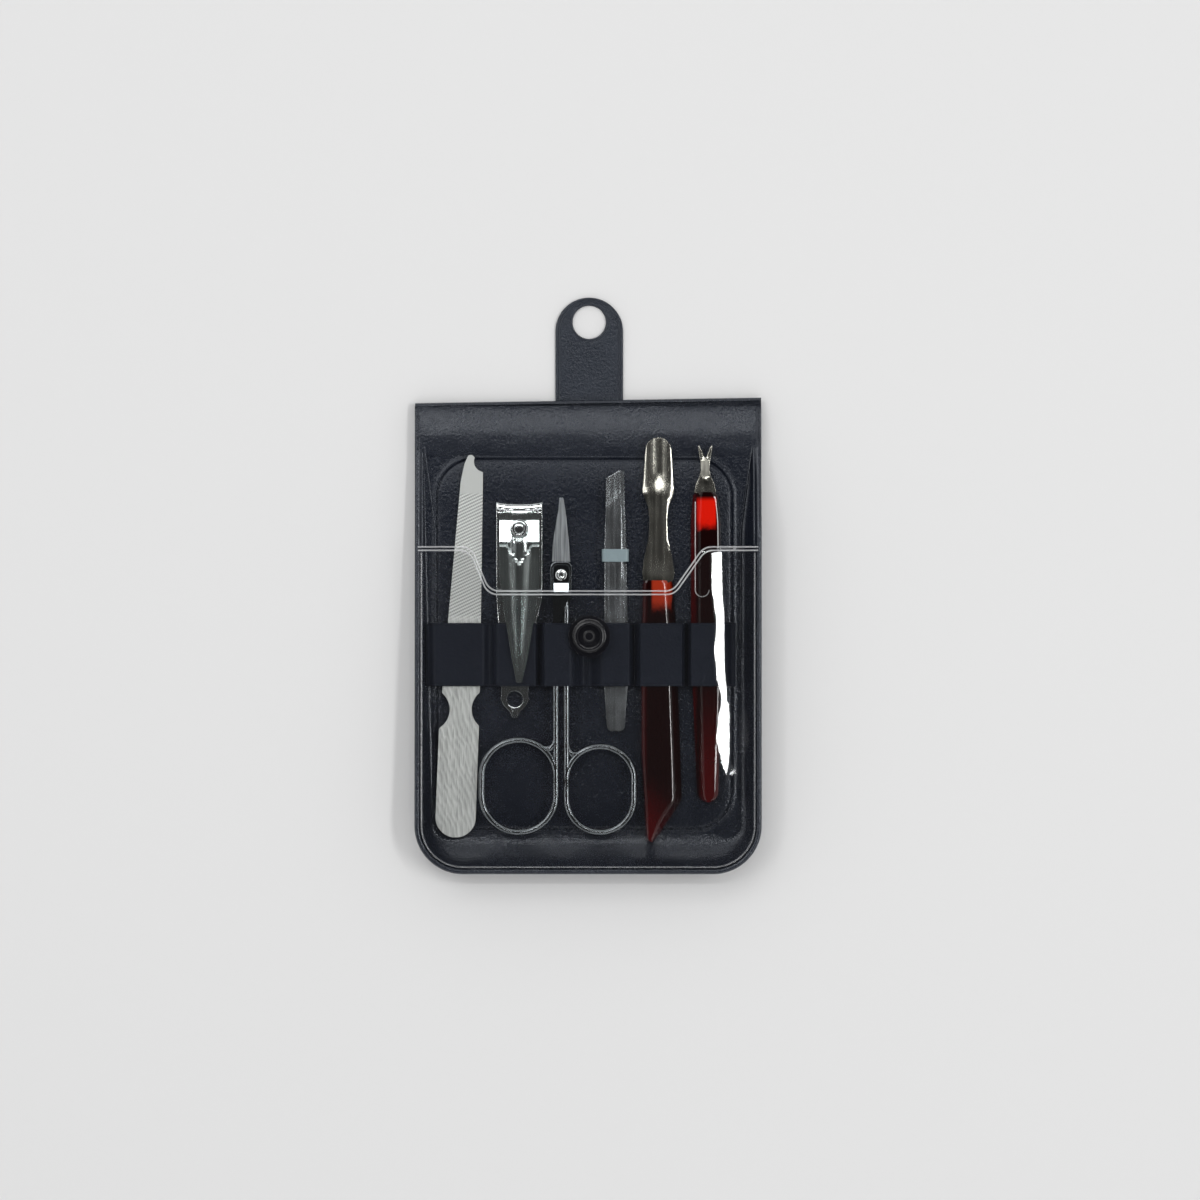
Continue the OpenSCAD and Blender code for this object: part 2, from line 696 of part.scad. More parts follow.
module clipper_lever() {
    back = 4.6;
    color("#9aa09f") in_frame() difference() {
        plate(lever_z, lever_t) translate([clipper_lane, pin_y]) polygon([
            [-3.4, back], [3.4, back], [lever_w / 2, 1.5], [lever_w / 2, -12],
            [lever_w / 2 - 1.2, -22], [1.9, lever_l * -0.85], [0.8, -lever_l], [0, -lever_l - 0.2],
            [-0.9, -lever_l], [-1.7, lever_l * -0.85], [-lever_w / 2 + 1.4, -22],
            [-lever_w / 2, -12], [-lever_w / 2, 1.5]
        ]);
        translate([clipper_lane, pin_y, lever_z - cut])
            cylinder(r = pin_r + turn_room, h = lever_t + 2 * cut);
    }
}

module clipper_pin() {
    head_z = lever_z + lever_t + slide_room;
    color("#dde0e2") in_frame() translate([clipper_lane, pin_y, 0]) rotate_extrude() polygon([
        [0, tool_z], [pin_r, tool_z], [pin_r, head_z], [pin_head_r, head_z],
        [pin_head_r, head_z + 0.3], [pin_head_r - 0.5, head_z + 0.7], [0, head_z + 0.7]
    ]);
}

module clipper_rivet() {
    head_r = 0.85;
    // The tail tips up by this much under the rivet's head when the clipper is pressed
    head_z = upper_arm_z + clipper_t + rivet_room;
    color("#dde0e2") in_frame() translate([tail_x, rivet_y, 0]) rotate_extrude() polygon([
        [0, tool_z], [rivet_r, tool_z], [rivet_r, head_z], [head_r, head_z],
        [head_r - 0.2, head_z + 0.25], [0, head_z + 0.25]
    ]);
}

/* ---- the scissors ---- */

joint_w = 5.8;
joint_back = 7;
shank_top_y = screw_y - joint_back;
ring_foot_middle_y = ring_foot_y + wire_d / 2;

// A finger ring of round wire: two half circles and two straight sides
module finger_ring(x, r) {
    low_y = ring_foot_middle_y + r;
    high_y = low_y + ring_straight;
    translate([x, high_y, wire_z]) rotate_extrude(angle = 180)
        translate([r, 0]) circle(d = wire_d, $fn = 24);
    translate([x, low_y, wire_z]) rotate([0, 0, 180]) rotate_extrude(angle = 180)
        translate([r, 0]) circle(d = wire_d, $fn = 24);
    for (side = [-1, 1]) translate([x + side * r, high_y, wire_z]) rotate([90, 0, 0])
        cylinder(d = wire_d, h = ring_straight, $fn = 24);
}

// A shank of the same wire, from the ring's straight side up to the joint
module shank(x, r) {
    foot = ring_foot_middle_y + r + ring_straight;
    translate([x, shank_top_y, wire_z]) rotate([90, 0, 0])
        cylinder(d = wire_d, h = shank_top_y - foot, $fn = 24);
}

module blade_outline(side) {
    tip_y = screw_y + blade_l;
    polygon([
        [screw_lane - joint_w / 2, screw_y + 3.2], [screw_lane + joint_w / 2, screw_y + 3.2],
        [screw_lane + joint_w / 2 - 0.5, screw_y + 7], [screw_lane + 1, screw_y + blade_l * 0.75],
        [screw_lane + 0.25 * side + 0.2, tip_y], [screw_lane + 0.25 * side - 0.2, tip_y],
        [screw_lane - 1, screw_y + blade_l * 0.75], [screw_lane - joint_w / 2 + 0.5, screw_y + 7]
    ]);
}

module scissor_right_half() {
    hold_y = shank_top_y + 1.6;
    color("#c6cacc") in_frame() {
        difference() {
            plate(scissor_z, half_t - slide_room) {
                blade_outline(-1);
                translate([screw_lane - joint_w / 2, hold_y])
                    square([joint_w, screw_y + 3.2 - hold_y]);
                translate([right_shank_x - wire_d / 2, shank_top_y - 1.5])
                    square([wire_d, hold_y - shank_top_y + 1.5]);
            }
            translate([screw_lane, screw_y, scissor_z - cut])
                cylinder(r = screw_r + seat_room, h = half_t + 2 * cut);
        }
        shank(right_shank_x, right_ring_r);
        finger_ring(right_shank_x + right_ring_r, right_ring_r);
    }
}

module scissor_left_half() {
    hold_y = shank_top_y + 1.6;
    color("#d0d4d6") in_frame() {
        difference() {
            plate(wire_z, half_t) {
                blade_outline(1);
                translate([screw_lane - joint_w / 2, hold_y])
                    square([joint_w, screw_y + 3.2 - hold_y]);
                translate([left_shank_x - wire_d / 2, shank_top_y - 1.5])
                    square([wire_d, hold_y - shank_top_y + 1.5]);
            }
            translate([screw_lane, screw_y, wire_z - cut])
                cylinder(r = screw_r + turn_room, h = half_t + 2 * cut);
        }
        shank(left_shank_x, left_ring_r);
        finger_ring(left_shank_x - left_ring_r, left_ring_r);
    }
}

module scissor_screw() {
    head_z = wire_z + half_t + slide_room;
    head_t = 0.5;
    color("#e2e4e5") in_frame() translate([screw_lane, screw_y, 0]) difference() {
        rotate_extrude() polygon([
            [0, scissor_z], [screw_r, scissor_z], [screw_r, head_z], [screw_head_r, head_z],
            [screw_head_r, head_z + 0.3], [screw_head_r - 0.2, head_z + head_t], [0, head_z + head_t]
        ]);
        translate([-screw_head_r - cut, -0.15, head_z + 0.25]) cube([2 * (screw_head_r + cut), 0.3, cut]);
    }
}

/* ---- the tweezers ---- */

module tweezer_outline() {
    half = tweezer_w / 2;
    polygon([
        [tweezer_lane - 2.2, tweezer_y], [tweezer_lane + 2.4, tweezer_y],
        [tweezer_lane + half + 0.3, tweezer_y + 12], [tweezer_lane + half + 0.3, strap_top_y],
        [tweezer_lane + half, tweezer_tip_y - 22], [tweezer_lane + half - 0.4, tweezer_tip_y - 12],
        [tweezer_lane + half - 0.6, tweezer_tip_y], [tweezer_lane - half + 0.5, tweezer_tip_y - 2.2],
        [tweezer_lane - half + 0.3, tweezer_tip_y - 12], [tweezer_lane - half, tweezer_tip_y - 22],
        [tweezer_lane - half + 0.1, strap_top_y], [tweezer_lane - half, tweezer_y + 12]
    ]);
}

module tweezer_lower_arm() {
    color("#b4babd") in_frame() plate(tweezer_z, arm_t) tweezer_outline();
}

module tweezer_upper_arm() {
    foot_z = tweezer_z + arm_t;
    tip_z = foot_z + tip_gap;
    color("#bcc2c5") in_frame() intersection() {
        plate(foot_z, tip_gap + arm_t) tweezer_outline();
        across([
            [tweezer_y - cut, foot_z], [tweezer_hinge_y, foot_z], [tweezer_tip_y, tip_z],
            [tweezer_tip_y, tip_z + arm_t], [tweezer_hinge_y, foot_z + arm_t],
            [tweezer_y - cut, foot_z + arm_t]
        ], 2 * tweezer_w, tweezer_lane);
    }
}

collar_top_y = tweezer_tip_y - 21.2;

module tweezer_collar() {
    low_z = tweezer_z - slide_room;
    high_z = tweezer_top(collar_top_y) + slide_room;
    inner = collar_w - 2 * collar_t;
    color("#8fa3a8") in_frame() difference() {
        translate([tweezer_lane - collar_w / 2, collar_top_y - collar_l, low_z - collar_t])
            cube([collar_w, collar_l, high_z - low_z + 2 * collar_t]);
        translate([tweezer_lane - inner / 2, collar_top_y - collar_l - cut, low_z])
            cube([inner, collar_l + 2 * cut, high_z - low_z]);
    }
}

/* ---- the cuticle pusher ---- */

pusher_top_y = pusher_y + pusher_handle_l;
tang_w = pusher_blade_w * 0.6;
pusher_tang_l = pusher_blade_l * 0.235;
pusher_blade_z = tool_z + (pusher_t - pusher_blade_t) / 2;
// How far the blade stands to the left of the handle's middle
pusher_blade_x = pusher_w * 0.073;

module pusher_blade() {
    tip_y = pusher_top_y + pusher_blade_l;
    half = pusher_blade_w / 2;
    tip_r = half * 0.79;
    x = pusher_lane - pusher_blade_x;
    // Height over the handle, as shares of the blade's length
    function up(share) = pusher_top_y + pusher_blade_l * share;
    color("#a8a595") in_frame() plate(pusher_blade_z, pusher_blade_t) {
        translate([x - tang_w / 2, pusher_top_y - pusher_tang_l]) square([tang_w, pusher_tang_l + 0.1]);
        polygon([
            [x - half * 0.977, up(0)], [x + half * 0.977, up(0)], [x + half, up(0.063)],
            [x + half * 0.581, up(0.287)], [x + half * 0.558, up(0.431)],
            [x + half * 0.977, up(0.627)], [x + half * 0.907, up(0.731)], [x + tip_r, tip_y - tip_r],
            [x - tip_r, tip_y - tip_r], [x - half * 0.907, up(0.731)], [x - half * 0.977, up(0.627)],
            [x - half * 0.558, up(0.431)], [x - half * 0.581, up(0.287)], [x - half, up(0.063)]
        ]);
        translate([x, tip_y - tip_r]) circle(tip_r);
    }
}

module pusher_handle() {
    left = pusher_lane - pusher_w / 2;
    right = pusher_lane + pusher_w / 2;
    color("#3a060c") in_frame() difference() {
        intersection() {
            round_bar(pusher_lane, tool_z, pusher_w, pusher_t, pusher_y - cut, pusher_handle_l + 2 * cut);
            plate(tool_z, pusher_t) polygon([
                [left + 0.4, pusher_top_y], [right - 2.3, pusher_top_y], [right - 1.6, pusher_top_y - 12],
                [right - 0.3, pusher_y + 22], [right, pusher_y + 11.8], [left + 3, pusher_y],
                [left + 1.4, pusher_y + 0.6], [left, pusher_y + 24], [left, pusher_top_y - 18]
            ]);
        }
        translate([pusher_lane - pusher_blade_x - tang_w / 2 - seat_room,
            pusher_top_y - pusher_tang_l - seat_room,
            pusher_blade_z - seat_room])
            cube([tang_w + 2 * seat_room, pusher_tang_l + cut, pusher_blade_t + 2 * seat_room]);
    }
}

/* ---- the cuticle trimmer ---- */

trimmer_top_y = trimmer_y + trimmer_handle_l;
fork_tang_w = fork_w * 0.6;
fork_tang_l = fork_l * 0.555;
fork_z = tool_z + (trimmer_t - fork_t) / 2;
// How far the fork stands to the left of the handle's middle
fork_x = trimmer_w * 0.048;

module trimmer_fork() {
    tip_y = trimmer_top_y + fork_l;
    half = fork_w / 2;
    x = trimmer_lane - fork_x;
    // Height over the handle, as shares of the fork's length
    function up(share) = trimmer_top_y + fork_l * share;
    color("#b0b0a8") in_frame() plate(fork_z, fork_t) difference() {
        union() {
            translate([x - fork_tang_w / 2, trimmer_top_y - fork_tang_l])
                square([fork_tang_w, fork_tang_l + 0.1]);
            polygon([
                [x - half, up(0)], [x + half, up(0)], [x + half * 0.933, up(0.127)],
                [x + half * 0.367, up(0.397)], [x + half * 0.367, up(0.635)],
                [x + half * 0.667, tip_y], [x - half * 0.667, tip_y],
                [x - half * 0.367, up(0.635)], [x - half * 0.367, up(0.397)],
                [x - half * 0.933, up(0.127)]
            ]);
        }
        polygon([[x - half * 0.5, tip_y + cut], [x + half * 0.5, tip_y + cut], [x, up(0.73)]]);
    }
}

module trimmer_handle() {
    end_r = 3;
    left = trimmer_lane - trimmer_w / 2;
    right = trimmer_lane + trimmer_w / 2;
    color("#33050a") in_frame() difference() {
        intersection() {
            round_bar(trimmer_lane, tool_z, trimmer_w, trimmer_t, trimmer_y - cut, trimmer_handle_l + 2 * cut);
            union() {
                plate(tool_z, trimmer_t) polygon([
                    [left + 0.7, trimmer_top_y], [right - 1.1, trimmer_top_y],
                    [right - 0.3, trimmer_top_y - 7], [right, trimmer_top_y - 42],
                    [trimmer_lane + 0.3 + end_r, trimmer_y + end_r + 0.7],
                    [trimmer_lane + 0.5 - end_r, trimmer_y + end_r + 0.7],
                    [left, trimmer_top_y - 42], [left, trimmer_top_y - 7]
                ]);
                translate([trimmer_lane + 0.4, trimmer_y + end_r, tool_z]) cylinder(r = end_r, h = trimmer_t);
            }
        }
        translate([trimmer_lane - fork_x - fork_tang_w / 2 - seat_room,
            trimmer_top_y - fork_tang_l - seat_room, fork_z - seat_room])
            cube([fork_tang_w + 2 * seat_room, fork_tang_l + cut, fork_t + 2 * seat_room]);
    }
}

back_cover();
stiffener_card();
foam_sheet();
liner_sheet();
padded_panel();
edge_rim();
clear_pocket();
loop_strap();
button_cap();
button_washer();
flap_top();
flap_middle();
flap_end();
closing_tab();
nail_file();
clipper_lower_arm();
clipper_upper_arm();
clipper_lever();
clipper_pin();
clipper_rivet();
scissor_right_half();
scissor_left_half();
scissor_screw();
tweezer_lower_arm();
tweezer_upper_arm();
tweezer_collar();
pusher_blade();
pusher_handle();
trimmer_fork();
trimmer_handle();
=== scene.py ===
"""Looks of the manicure set case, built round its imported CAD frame.

Lengths are millimetres, and the stage is in metres. A piece's own points are given as x across
the case, y from the case's foot and z from the table; row_point turns them into the row frame.
"""

import math

import bmesh
import bpy
import numpy as np
from bpy.props import FloatProperty, FloatVectorProperty, PointerProperty
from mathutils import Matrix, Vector, noise
from mathutils.bvhtree import BVHTree


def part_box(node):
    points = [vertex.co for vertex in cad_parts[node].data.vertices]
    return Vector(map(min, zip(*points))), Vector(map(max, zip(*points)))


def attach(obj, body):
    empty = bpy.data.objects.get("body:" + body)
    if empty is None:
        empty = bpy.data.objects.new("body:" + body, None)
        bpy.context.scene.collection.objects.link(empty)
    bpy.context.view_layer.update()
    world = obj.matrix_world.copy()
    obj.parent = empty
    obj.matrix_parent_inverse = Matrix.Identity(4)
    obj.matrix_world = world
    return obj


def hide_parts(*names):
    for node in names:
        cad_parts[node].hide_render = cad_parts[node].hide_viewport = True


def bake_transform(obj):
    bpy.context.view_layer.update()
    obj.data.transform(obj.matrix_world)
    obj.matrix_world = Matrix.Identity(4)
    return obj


bl_info = {
    "name": "Manicure set case",
    "version": (1, 0, 0),
    "blender": (4, 5, 0),
    "location": "3D View > Sidebar > Manicure set",
    "description": "Builds the looks of a vinyl manicure set case round its CAD frame",
    "category": "Object",
}

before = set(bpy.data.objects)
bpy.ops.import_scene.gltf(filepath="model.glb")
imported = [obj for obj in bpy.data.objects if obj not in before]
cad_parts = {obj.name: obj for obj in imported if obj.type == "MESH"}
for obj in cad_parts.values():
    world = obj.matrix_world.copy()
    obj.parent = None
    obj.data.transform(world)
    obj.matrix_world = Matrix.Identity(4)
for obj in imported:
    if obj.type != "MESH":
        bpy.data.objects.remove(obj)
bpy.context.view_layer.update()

MM = 0.001
FOOT_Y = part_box("back_cover")[0].y
FOOT_MM = FOOT_Y / MM
HALF_WIDTH = 46.5


# ---- settings ----


def length(name, default, description):
    """A length setting in millimetres."""
    return FloatProperty(name=name, default=default, min=0.0, soft_max=60.0, description=description)


def colour(name, default, description):
    """A colour setting, in linear values."""
    return FloatVectorProperty(
        name=name, default=default, size=3, min=0.0, max=1.0, subtype="COLOR", description=description
    )


def power(name, default):
    """The power setting of one light."""
    return FloatProperty(
        name=name, default=default, min=0.0, description=f"Power of the {name.lower()} in watts"
    )


class CaseShape(bpy.types.PropertyGroup):
    """Sizes of the case's own looks."""

    bead: length("Rim bead", 0.75, "Radius of the rounded outer edge of the rim")
    wall_lean: length("Wall lean", 3.0, "How far the rim's inner wall leans in at the lining")
    foot_lean: length("Foot lean", 8.2, "How far the inner wall leans in at the case's foot")
    groove: length("Weld groove", 0.55, "Width of the groove round the padded panel")
    groove_deep: length("Groove depth", 0.22, "Depth of the groove round the padded panel")
    pocket_swell: length("Pocket swell", 0.45, "How far the clear sheet stands up before its slope")
    pocket_dip: length("Pocket dip", 1.5, "How far the clear sheet dips beside the trimmer")
    pocket_wave: length("Pocket wave", 0.16, "Height of the clear sheet's soft waves")
    flap_crown: length("Flap crown", 0.62, "How high the flap's band bulges over its fold")
    flap_slant: length("Flap slant", 0.75, "How far the flap's top edge runs out of square at each end")
    edge_bead: length("Edge bead", 0.3, "Radius of the welded bead along the flap's sides")


class ToolShape(bpy.types.PropertyGroup):
    """Sizes of the tools' looks."""

    steel_edge: length("Steel edge", 0.22, "Rounding of the clipper's and tweezers' steel edges")
    handle_bevel: length("Handle bevel", 1.9, "Width of the bevels along the resin handles")
    lever_crown: length("Lever crown", 0.45, "How high the clipper's lever is curved across")


class Colours(bpy.types.PropertyGroup):
    """Colours of every finish."""

    vinyl: colour("Vinyl", (0.0045, 0.0058, 0.0098), "The case's black vinyl")
    lining: colour("Lining", (0.0024, 0.0036, 0.0075), "The padded lining")
    strap: colour("Strap", (0.0042, 0.0055, 0.0098), "The loop strap")
    tab: colour("Tab", (0.009, 0.0112, 0.0165), "The closing tab")
    button: colour("Button", (0.006, 0.006, 0.008), "The button")
    card: colour("Card", (0.35, 0.3, 0.22), "The stiffening card")
    foam: colour("Foam", (0.6, 0.6, 0.58), "The foam")
    file: colour("File", (0.62, 0.64, 0.62), "The nail file's steel")
    chrome: colour("Chrome", (0.66, 0.69, 0.69), "The clipper's chrome")
    lever: colour("Lever", (0.6, 0.66, 0.65), "The clipper's lever")
    steel: colour("Steel", (0.5, 0.53, 0.55), "The scissors' blades and the tweezers")
    wire: colour("Wire", (0.17, 0.185, 0.195), "The scissors' rings and shanks")
    collar: colour("Collar", (0.2, 0.26, 0.28), "The tweezers' collar")
    warm: colour("Warm steel", (0.52, 0.51, 0.45), "The pusher's and trimmer's steel")
    resin: colour("Resin", (0.006, 0.0004, 0.0005), "The dark red handles")
    # Painted light in the red handles: the next colour is painted red light through the resin, and the two
    # after it are a painted glow where the pusher's tang shines and at the trimmer's top.
    ember: colour("Ember", (0.045, 0.0008, 0.0014), "The handles where light comes through them")
    pusher_glow: colour("Pusher glow", (0.3, 0.025, 0.008), "The pusher's handle where the tang shines")
    trimmer_glow: colour("Trimmer glow", (0.6, 0.008, 0.002), "The trimmer's handle at its top")
    floor: colour("Floor", (0.7, 0.7, 0.7), "The floor")


class StageLook(bpy.types.PropertyGroup):
    """Camera and light."""

    distance: FloatProperty(
        name="Camera distance", default=1.6, unit="LENGTH", description="Height of the camera"
    )
    seen_width: FloatProperty(
        name="Seen width", default=0.3226, unit="LENGTH", description="Width that the camera sees"
    )
    key_power: power("Key light", 5.5)
    strip_power: power("Strip light", 7.4)
    left_power: power("Left light", 1.6)
    foot_power: power("Foot light", 1.2)
    top_power: power("Top light", 1.0)
    near_power: power("Near light", 2.2)
    sky_side: FloatProperty(name="Sky sides", default=1.2, description="Brightness of the room's sides")
    sky_top: FloatProperty(name="Sky top", default=0.035, description="Brightness of the room overhead")


# ---- places and outlines ----


def row_point(x, y, z):
    """A point given in millimetres, y from the case's foot, as metres in the row frame."""
    return (x * MM, y * MM + FOOT_Y, z * MM)


def span(node):
    """Lowest and highest corner of a CAD node in millimetres, y from the case's foot."""
    return [(at.x / MM, (at.y - FOOT_Y) / MM, at.z / MM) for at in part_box(node)]


def middle(node):
    """Centre of a CAD node in plan."""
    low, high = span(node)
    return (low[0] + high[0]) / 2, (low[1] + high[1]) / 2


def smooth(value, low, high):
    """0 below low, 1 above high, and a smooth step between."""
    t = min(1.0, max(0.0, (value - low) / (high - low)))
    return t * t * (3 - 2 * t)


def ripple(*at):
    """Smooth noise at a place, from about -0.5 to 0.5."""
    return noise.noise(Vector(at))


def moved(points, x, y=0.0):
    """Points moved by x and y; what follows their first two numbers stays."""
    return [(x + p[0], y + p[1], *p[2:]) for p in points]


def line_at(points, y):
    """Reads a list of (y, value) points as a line, at one y."""
    return float(np.interp(y, [p[0] for p in points], [p[1] for p in points]))


def side_line(start, *groups):
    """A side's x as a function of y: a start plus a line through groups of (y, x) points,
    each group counted from its own origin."""
    points = [(origin + y, x) for origin, group in groups for y, x in group]
    return lambda y: start + line_at(points, y)


def frange(start, end, step):
    """Evenly spaced values from start to end, both included."""
    count = max(1, round((end - start) / step))
    return [start + (end - start) * k / count for k in range(count + 1)]


def rounded(corners, step=15):
    """An outline through (x, y, radius) corners, each turned into an arc of that radius."""
    outline = []
    for i, (x, y, radius) in enumerate(corners):
        corner = Vector((x, y))
        back = Vector(corners[i - 1][:2]) - corner
        ahead = Vector(corners[(i + 1) % len(corners)][:2]) - corner
        turn = back.angle(ahead)
        if radius <= 0 or turn > 3.12:
            outline.append((x, y))
            continue
        reach = min(radius / math.tan(turn / 2), 0.48 * back.length, 0.48 * ahead.length)
        radius = reach * math.tan(turn / 2)
        back.normalize()
        ahead.normalize()
        centre = corner + (back + ahead).normalized() * (radius / math.sin(turn / 2))
        start = corner + back * reach - centre
        end = corner + ahead * reach - centre
        first = math.atan2(start.y, start.x)
        swing = math.remainder(math.atan2(end.y, end.x) - first, 2 * math.pi)
        steps = max(2, int(abs(math.degrees(swing)) / step) + 1)
        for k in range(steps + 1):
            a = first + swing * k / steps
            outline.append((centre.x + radius * math.cos(a), centre.y + radius * math.sin(a)))
    return outline


def circle(x, y, radius, steps):
    """The outline of a circle."""
    turns = [2 * math.pi * k / steps for k in range(steps)]
    return [(x + radius * math.cos(a), y + radius * math.sin(a)) for a in turns]


def two_sides(ys, left, right, cap=()):
    """An outline up the left side, over a cap and down the right; the sides are functions of y."""
    return [*[(left(y), y) for y in ys], *cap, *[(right(y), y) for y in reversed(ys)]]


# ---- meshes ----


def add_piece(name, bm):
    """Makes a bmesh an object of the scene."""
    mesh = bpy.data.meshes.new(name)
    bm.to_mesh(mesh)
    bm.free()
    piece = bpy.data.objects.new(name, mesh)
    bpy.context.scene.collection.objects.link(piece)
    return piece


def finish_mesh(name, bm, sharp_deg=30):
    """Turns a bmesh in millimetres into a piece, smooth but for its sharp edges."""
    bmesh.ops.remove_doubles(bm, verts=bm.verts, dist=1e-4)
    bmesh.ops.dissolve_degenerate(bm, edges=bm.edges, dist=1e-5)
    bmesh.ops.recalc_face_normals(bm, faces=bm.faces)
    limit = math.radians(sharp_deg)
    for edge in bm.edges:
        edge.smooth = len(edge.link_faces) == 2 and edge.calc_face_angle(0) < limit
    for face in bm.faces:
        face.smooth = True
    for vert in bm.verts:
        vert.co = row_point(*vert.co)
    return add_piece(name, bm)


def from_faces(name, points, faces, sharp_deg):
    """A piece from points in millimetres and faces."""
    bm = bmesh.new()
    verts = [bm.verts.new(p) for p in points]
    for face in faces:
        if len(set(face)) == len(face):
            bm.faces.new([verts[i] for i in face])
    return finish_mesh(name, bm, sharp_deg)


def loft(name, rings, closed=True, capped=True, sharp_deg=30):
    """A skin through rings of equally many points; closed joins each ring's ends."""
    count = len(rings[0])
    points = [p for ring in rings for p in ring]
    faces = []
    for i in range(len(rings) - 1):
        for j in range(count if closed else count - 1):
            k = (j + 1) % count
            faces.append((i * count + j, i * count + k, (i + 1) * count + k, (i + 1) * count + j))
    if capped:
        faces.append(tuple(range(count)))
        faces.append(tuple(range((len(rings) - 1) * count, len(rings) * count)))
    return from_faces(name, points, faces, sharp_deg)


def slab(name, grid, thick):
    """A sheet whose top follows a grid of points, with an underside and edges."""
    rows, cols = len(grid), len(grid[0])
    top = [p for row in grid for p in row]
    shift = len(top)
    faces = []
    for i in range(rows - 1):
        for j in range(cols - 1):
            a, b = i * cols + j, (i + 1) * cols + j
            faces.append((a, a + 1, b + 1, b))
            faces.append((shift + a, shift + b, shift + b + 1, shift + a + 1))
    border = [*range(cols), *[i * cols + cols - 1 for i in range(1, rows)]]
    border += [(rows - 1) * cols + j for j in range(cols - 2, -1, -1)]
    border += [i * cols for i in range(rows - 2, 0, -1)]
    for a, b in zip(border, border[1:] + border[:1]):
        faces.append((a, b, shift + b, shift + a))
    return from_faces(name, top + [(x, y, z - thick) for x, y, z in top], faces, 40)


def lathe(name, x, y, profile, steps=56):
    """A turned piece about an upright axis, from (radius, z) points."""
    turns = [2 * math.pi * k / steps for k in range(steps)]
    rings = [[(x + r * math.cos(a), y + r * math.sin(a), z) for r, z in profile] for a in turns]
    return loft(name, [*rings, rings[0]], closed=False, capped=False, sharp_deg=28)


def tube(name, path, radius, sides=8, closed=False):
    """A round bar along a path of points; radius may be one length or one for each point."""
    points = [Vector(p) for p in path]
    count = len(points)
    radii = [radius] * count if isinstance(radius, (int, float)) else radius
    turns = [2 * math.pi * k / sides for k in range(sides)]
    rings = []
    for i, p in enumerate(points):
        before = points[i - 1] if i or closed else p
        after = points[(i + 1) % count] if i < count - 1 or closed else p
        ahead = (after - before).normalized()
        side = ahead.cross(Vector((0, 0, 1))).normalized()
        up = side.cross(ahead)
        rings.append([p + (side * math.cos(a) + up * math.sin(a)) * radii[i] for a in turns])
    if closed:
        rings.append(rings[0])
    return loft(name, rings, capped=not closed, sharp_deg=60)


def plate(name, outlines, low, high, edge=0.0, cuts_x=(), cuts_y=(), warp=None, sharp_deg=14):
    """A flat plate with rounded edges; the first outline is its edge and the rest are holes.
    cuts are places where the plate is divided, so that warp can bend it there."""
    bm = bmesh.new()
    for outline in outlines:
        verts = [bm.verts.new((x, y, low)) for x, y in outline]
        for a, b in zip(verts, verts[1:] + verts[:1]):
            bm.edges.new((a, b))
    bmesh.ops.triangle_fill(bm, use_beauty=True, use_dissolve=False, edges=bm.edges)
    made = bmesh.ops.extrude_face_region(bm, geom=bm.faces[:])
    for item in made["geom"]:
        if isinstance(item, bmesh.types.BMVert):
            item.co.z = high
    bmesh.ops.recalc_face_normals(bm, faces=bm.faces)
    if edge > 0:
        corners = [e for e in bm.edges if abs(e.calc_face_angle(0)) > 1.2]
        rims = [e for e in corners if abs(e.verts[0].co.z - e.verts[1].co.z) < 1e-6]
        bmesh.ops.bevel(
            bm, geom=rims, offset=edge, segments=3, profile=0.5, affect="EDGES", clamp_overlap=True
        )
    for direction, places in ((Vector((1, 0, 0)), cuts_x), (Vector((0, 1, 0)), cuts_y)):
        for where in places:
            geom = bm.verts[:] + bm.edges[:] + bm.faces[:]
            bmesh.ops.bisect_plane(bm, geom=geom, plane_co=direction * where, plane_no=direction)
    if warp:
        for vert in bm.verts:
            vert.co.z = warp(*vert.co)
    return finish_mesh(name, bm, sharp_deg)


def joined(name, pieces):
    """One piece from several."""
    bm = bmesh.new()
    for piece in pieces:
        bm.from_mesh(piece.data)
        bpy.data.objects.remove(piece)
    return add_piece(name, bm)


def settle(pieces, *rows):
    """Gives each piece its body and finish and hides the node that it stands for; each row holds body,
    finish, slot and node, in that order, and the slot is not used.
    """
    for piece, (body, kind, slot, *nodes) in zip(pieces, rows, strict=True):
        piece.data.materials.append(finish(kind))
        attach(piece, body)
        if nodes:
            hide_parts(*nodes)


def show_node(name, kind, edge=0.0):
    """Shows a CAD node as it is, in a finish, with its edges eased."""
    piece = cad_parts[name]
    piece.data.materials.clear()
    piece.data.materials.append(finish(kind))
    if edge > 0:
        ease = piece.modifiers.new("eased", "BEVEL")
        ease.width = edge * MM
        ease.segments = 2
        ease.limit_method = "ANGLE"


# ---- shader arithmetic ----


class Value:
    """A shader socket that takes part in arithmetic."""

    def __init__(self, paint, socket):
        self.paint = paint
        self.socket = socket

    def math(self, operation, *others):
        """This socket and others through one Math node."""
        values = dict(enumerate((self, *others)))
        node = self.paint.node("ShaderNodeMath", {"operation": operation}, values)
        return Value(self.paint, node.outputs[0])

    def __add__(self, other):
        return self.math("ADD", other)

    def __sub__(self, other):
        return self.math("SUBTRACT", other)

    def __rsub__(self, other):
        return self.math("MULTIPLY", -1.0) + other

    def __mul__(self, other):
        return self.math("MULTIPLY", other)

    __radd__ = __add__
    __rmul__ = __mul__

    def sin(self):
        """Sine of this socket, in radians."""
        return self.math("SINE")

    def most(self, other):
        """The greater of the two."""
        return self.math("MAXIMUM", other)

    def rise(self, low, high):
        """0 at low, 1 at high, smooth between."""
        values = {0: self, 1: low, 2: high, 3: 0.0, 4: 1.0}
        node = self.paint.node("ShaderNodeMapRange", {"interpolation_type": "SMOOTHSTEP"}, values)
        return Value(self.paint, node.outputs[0])


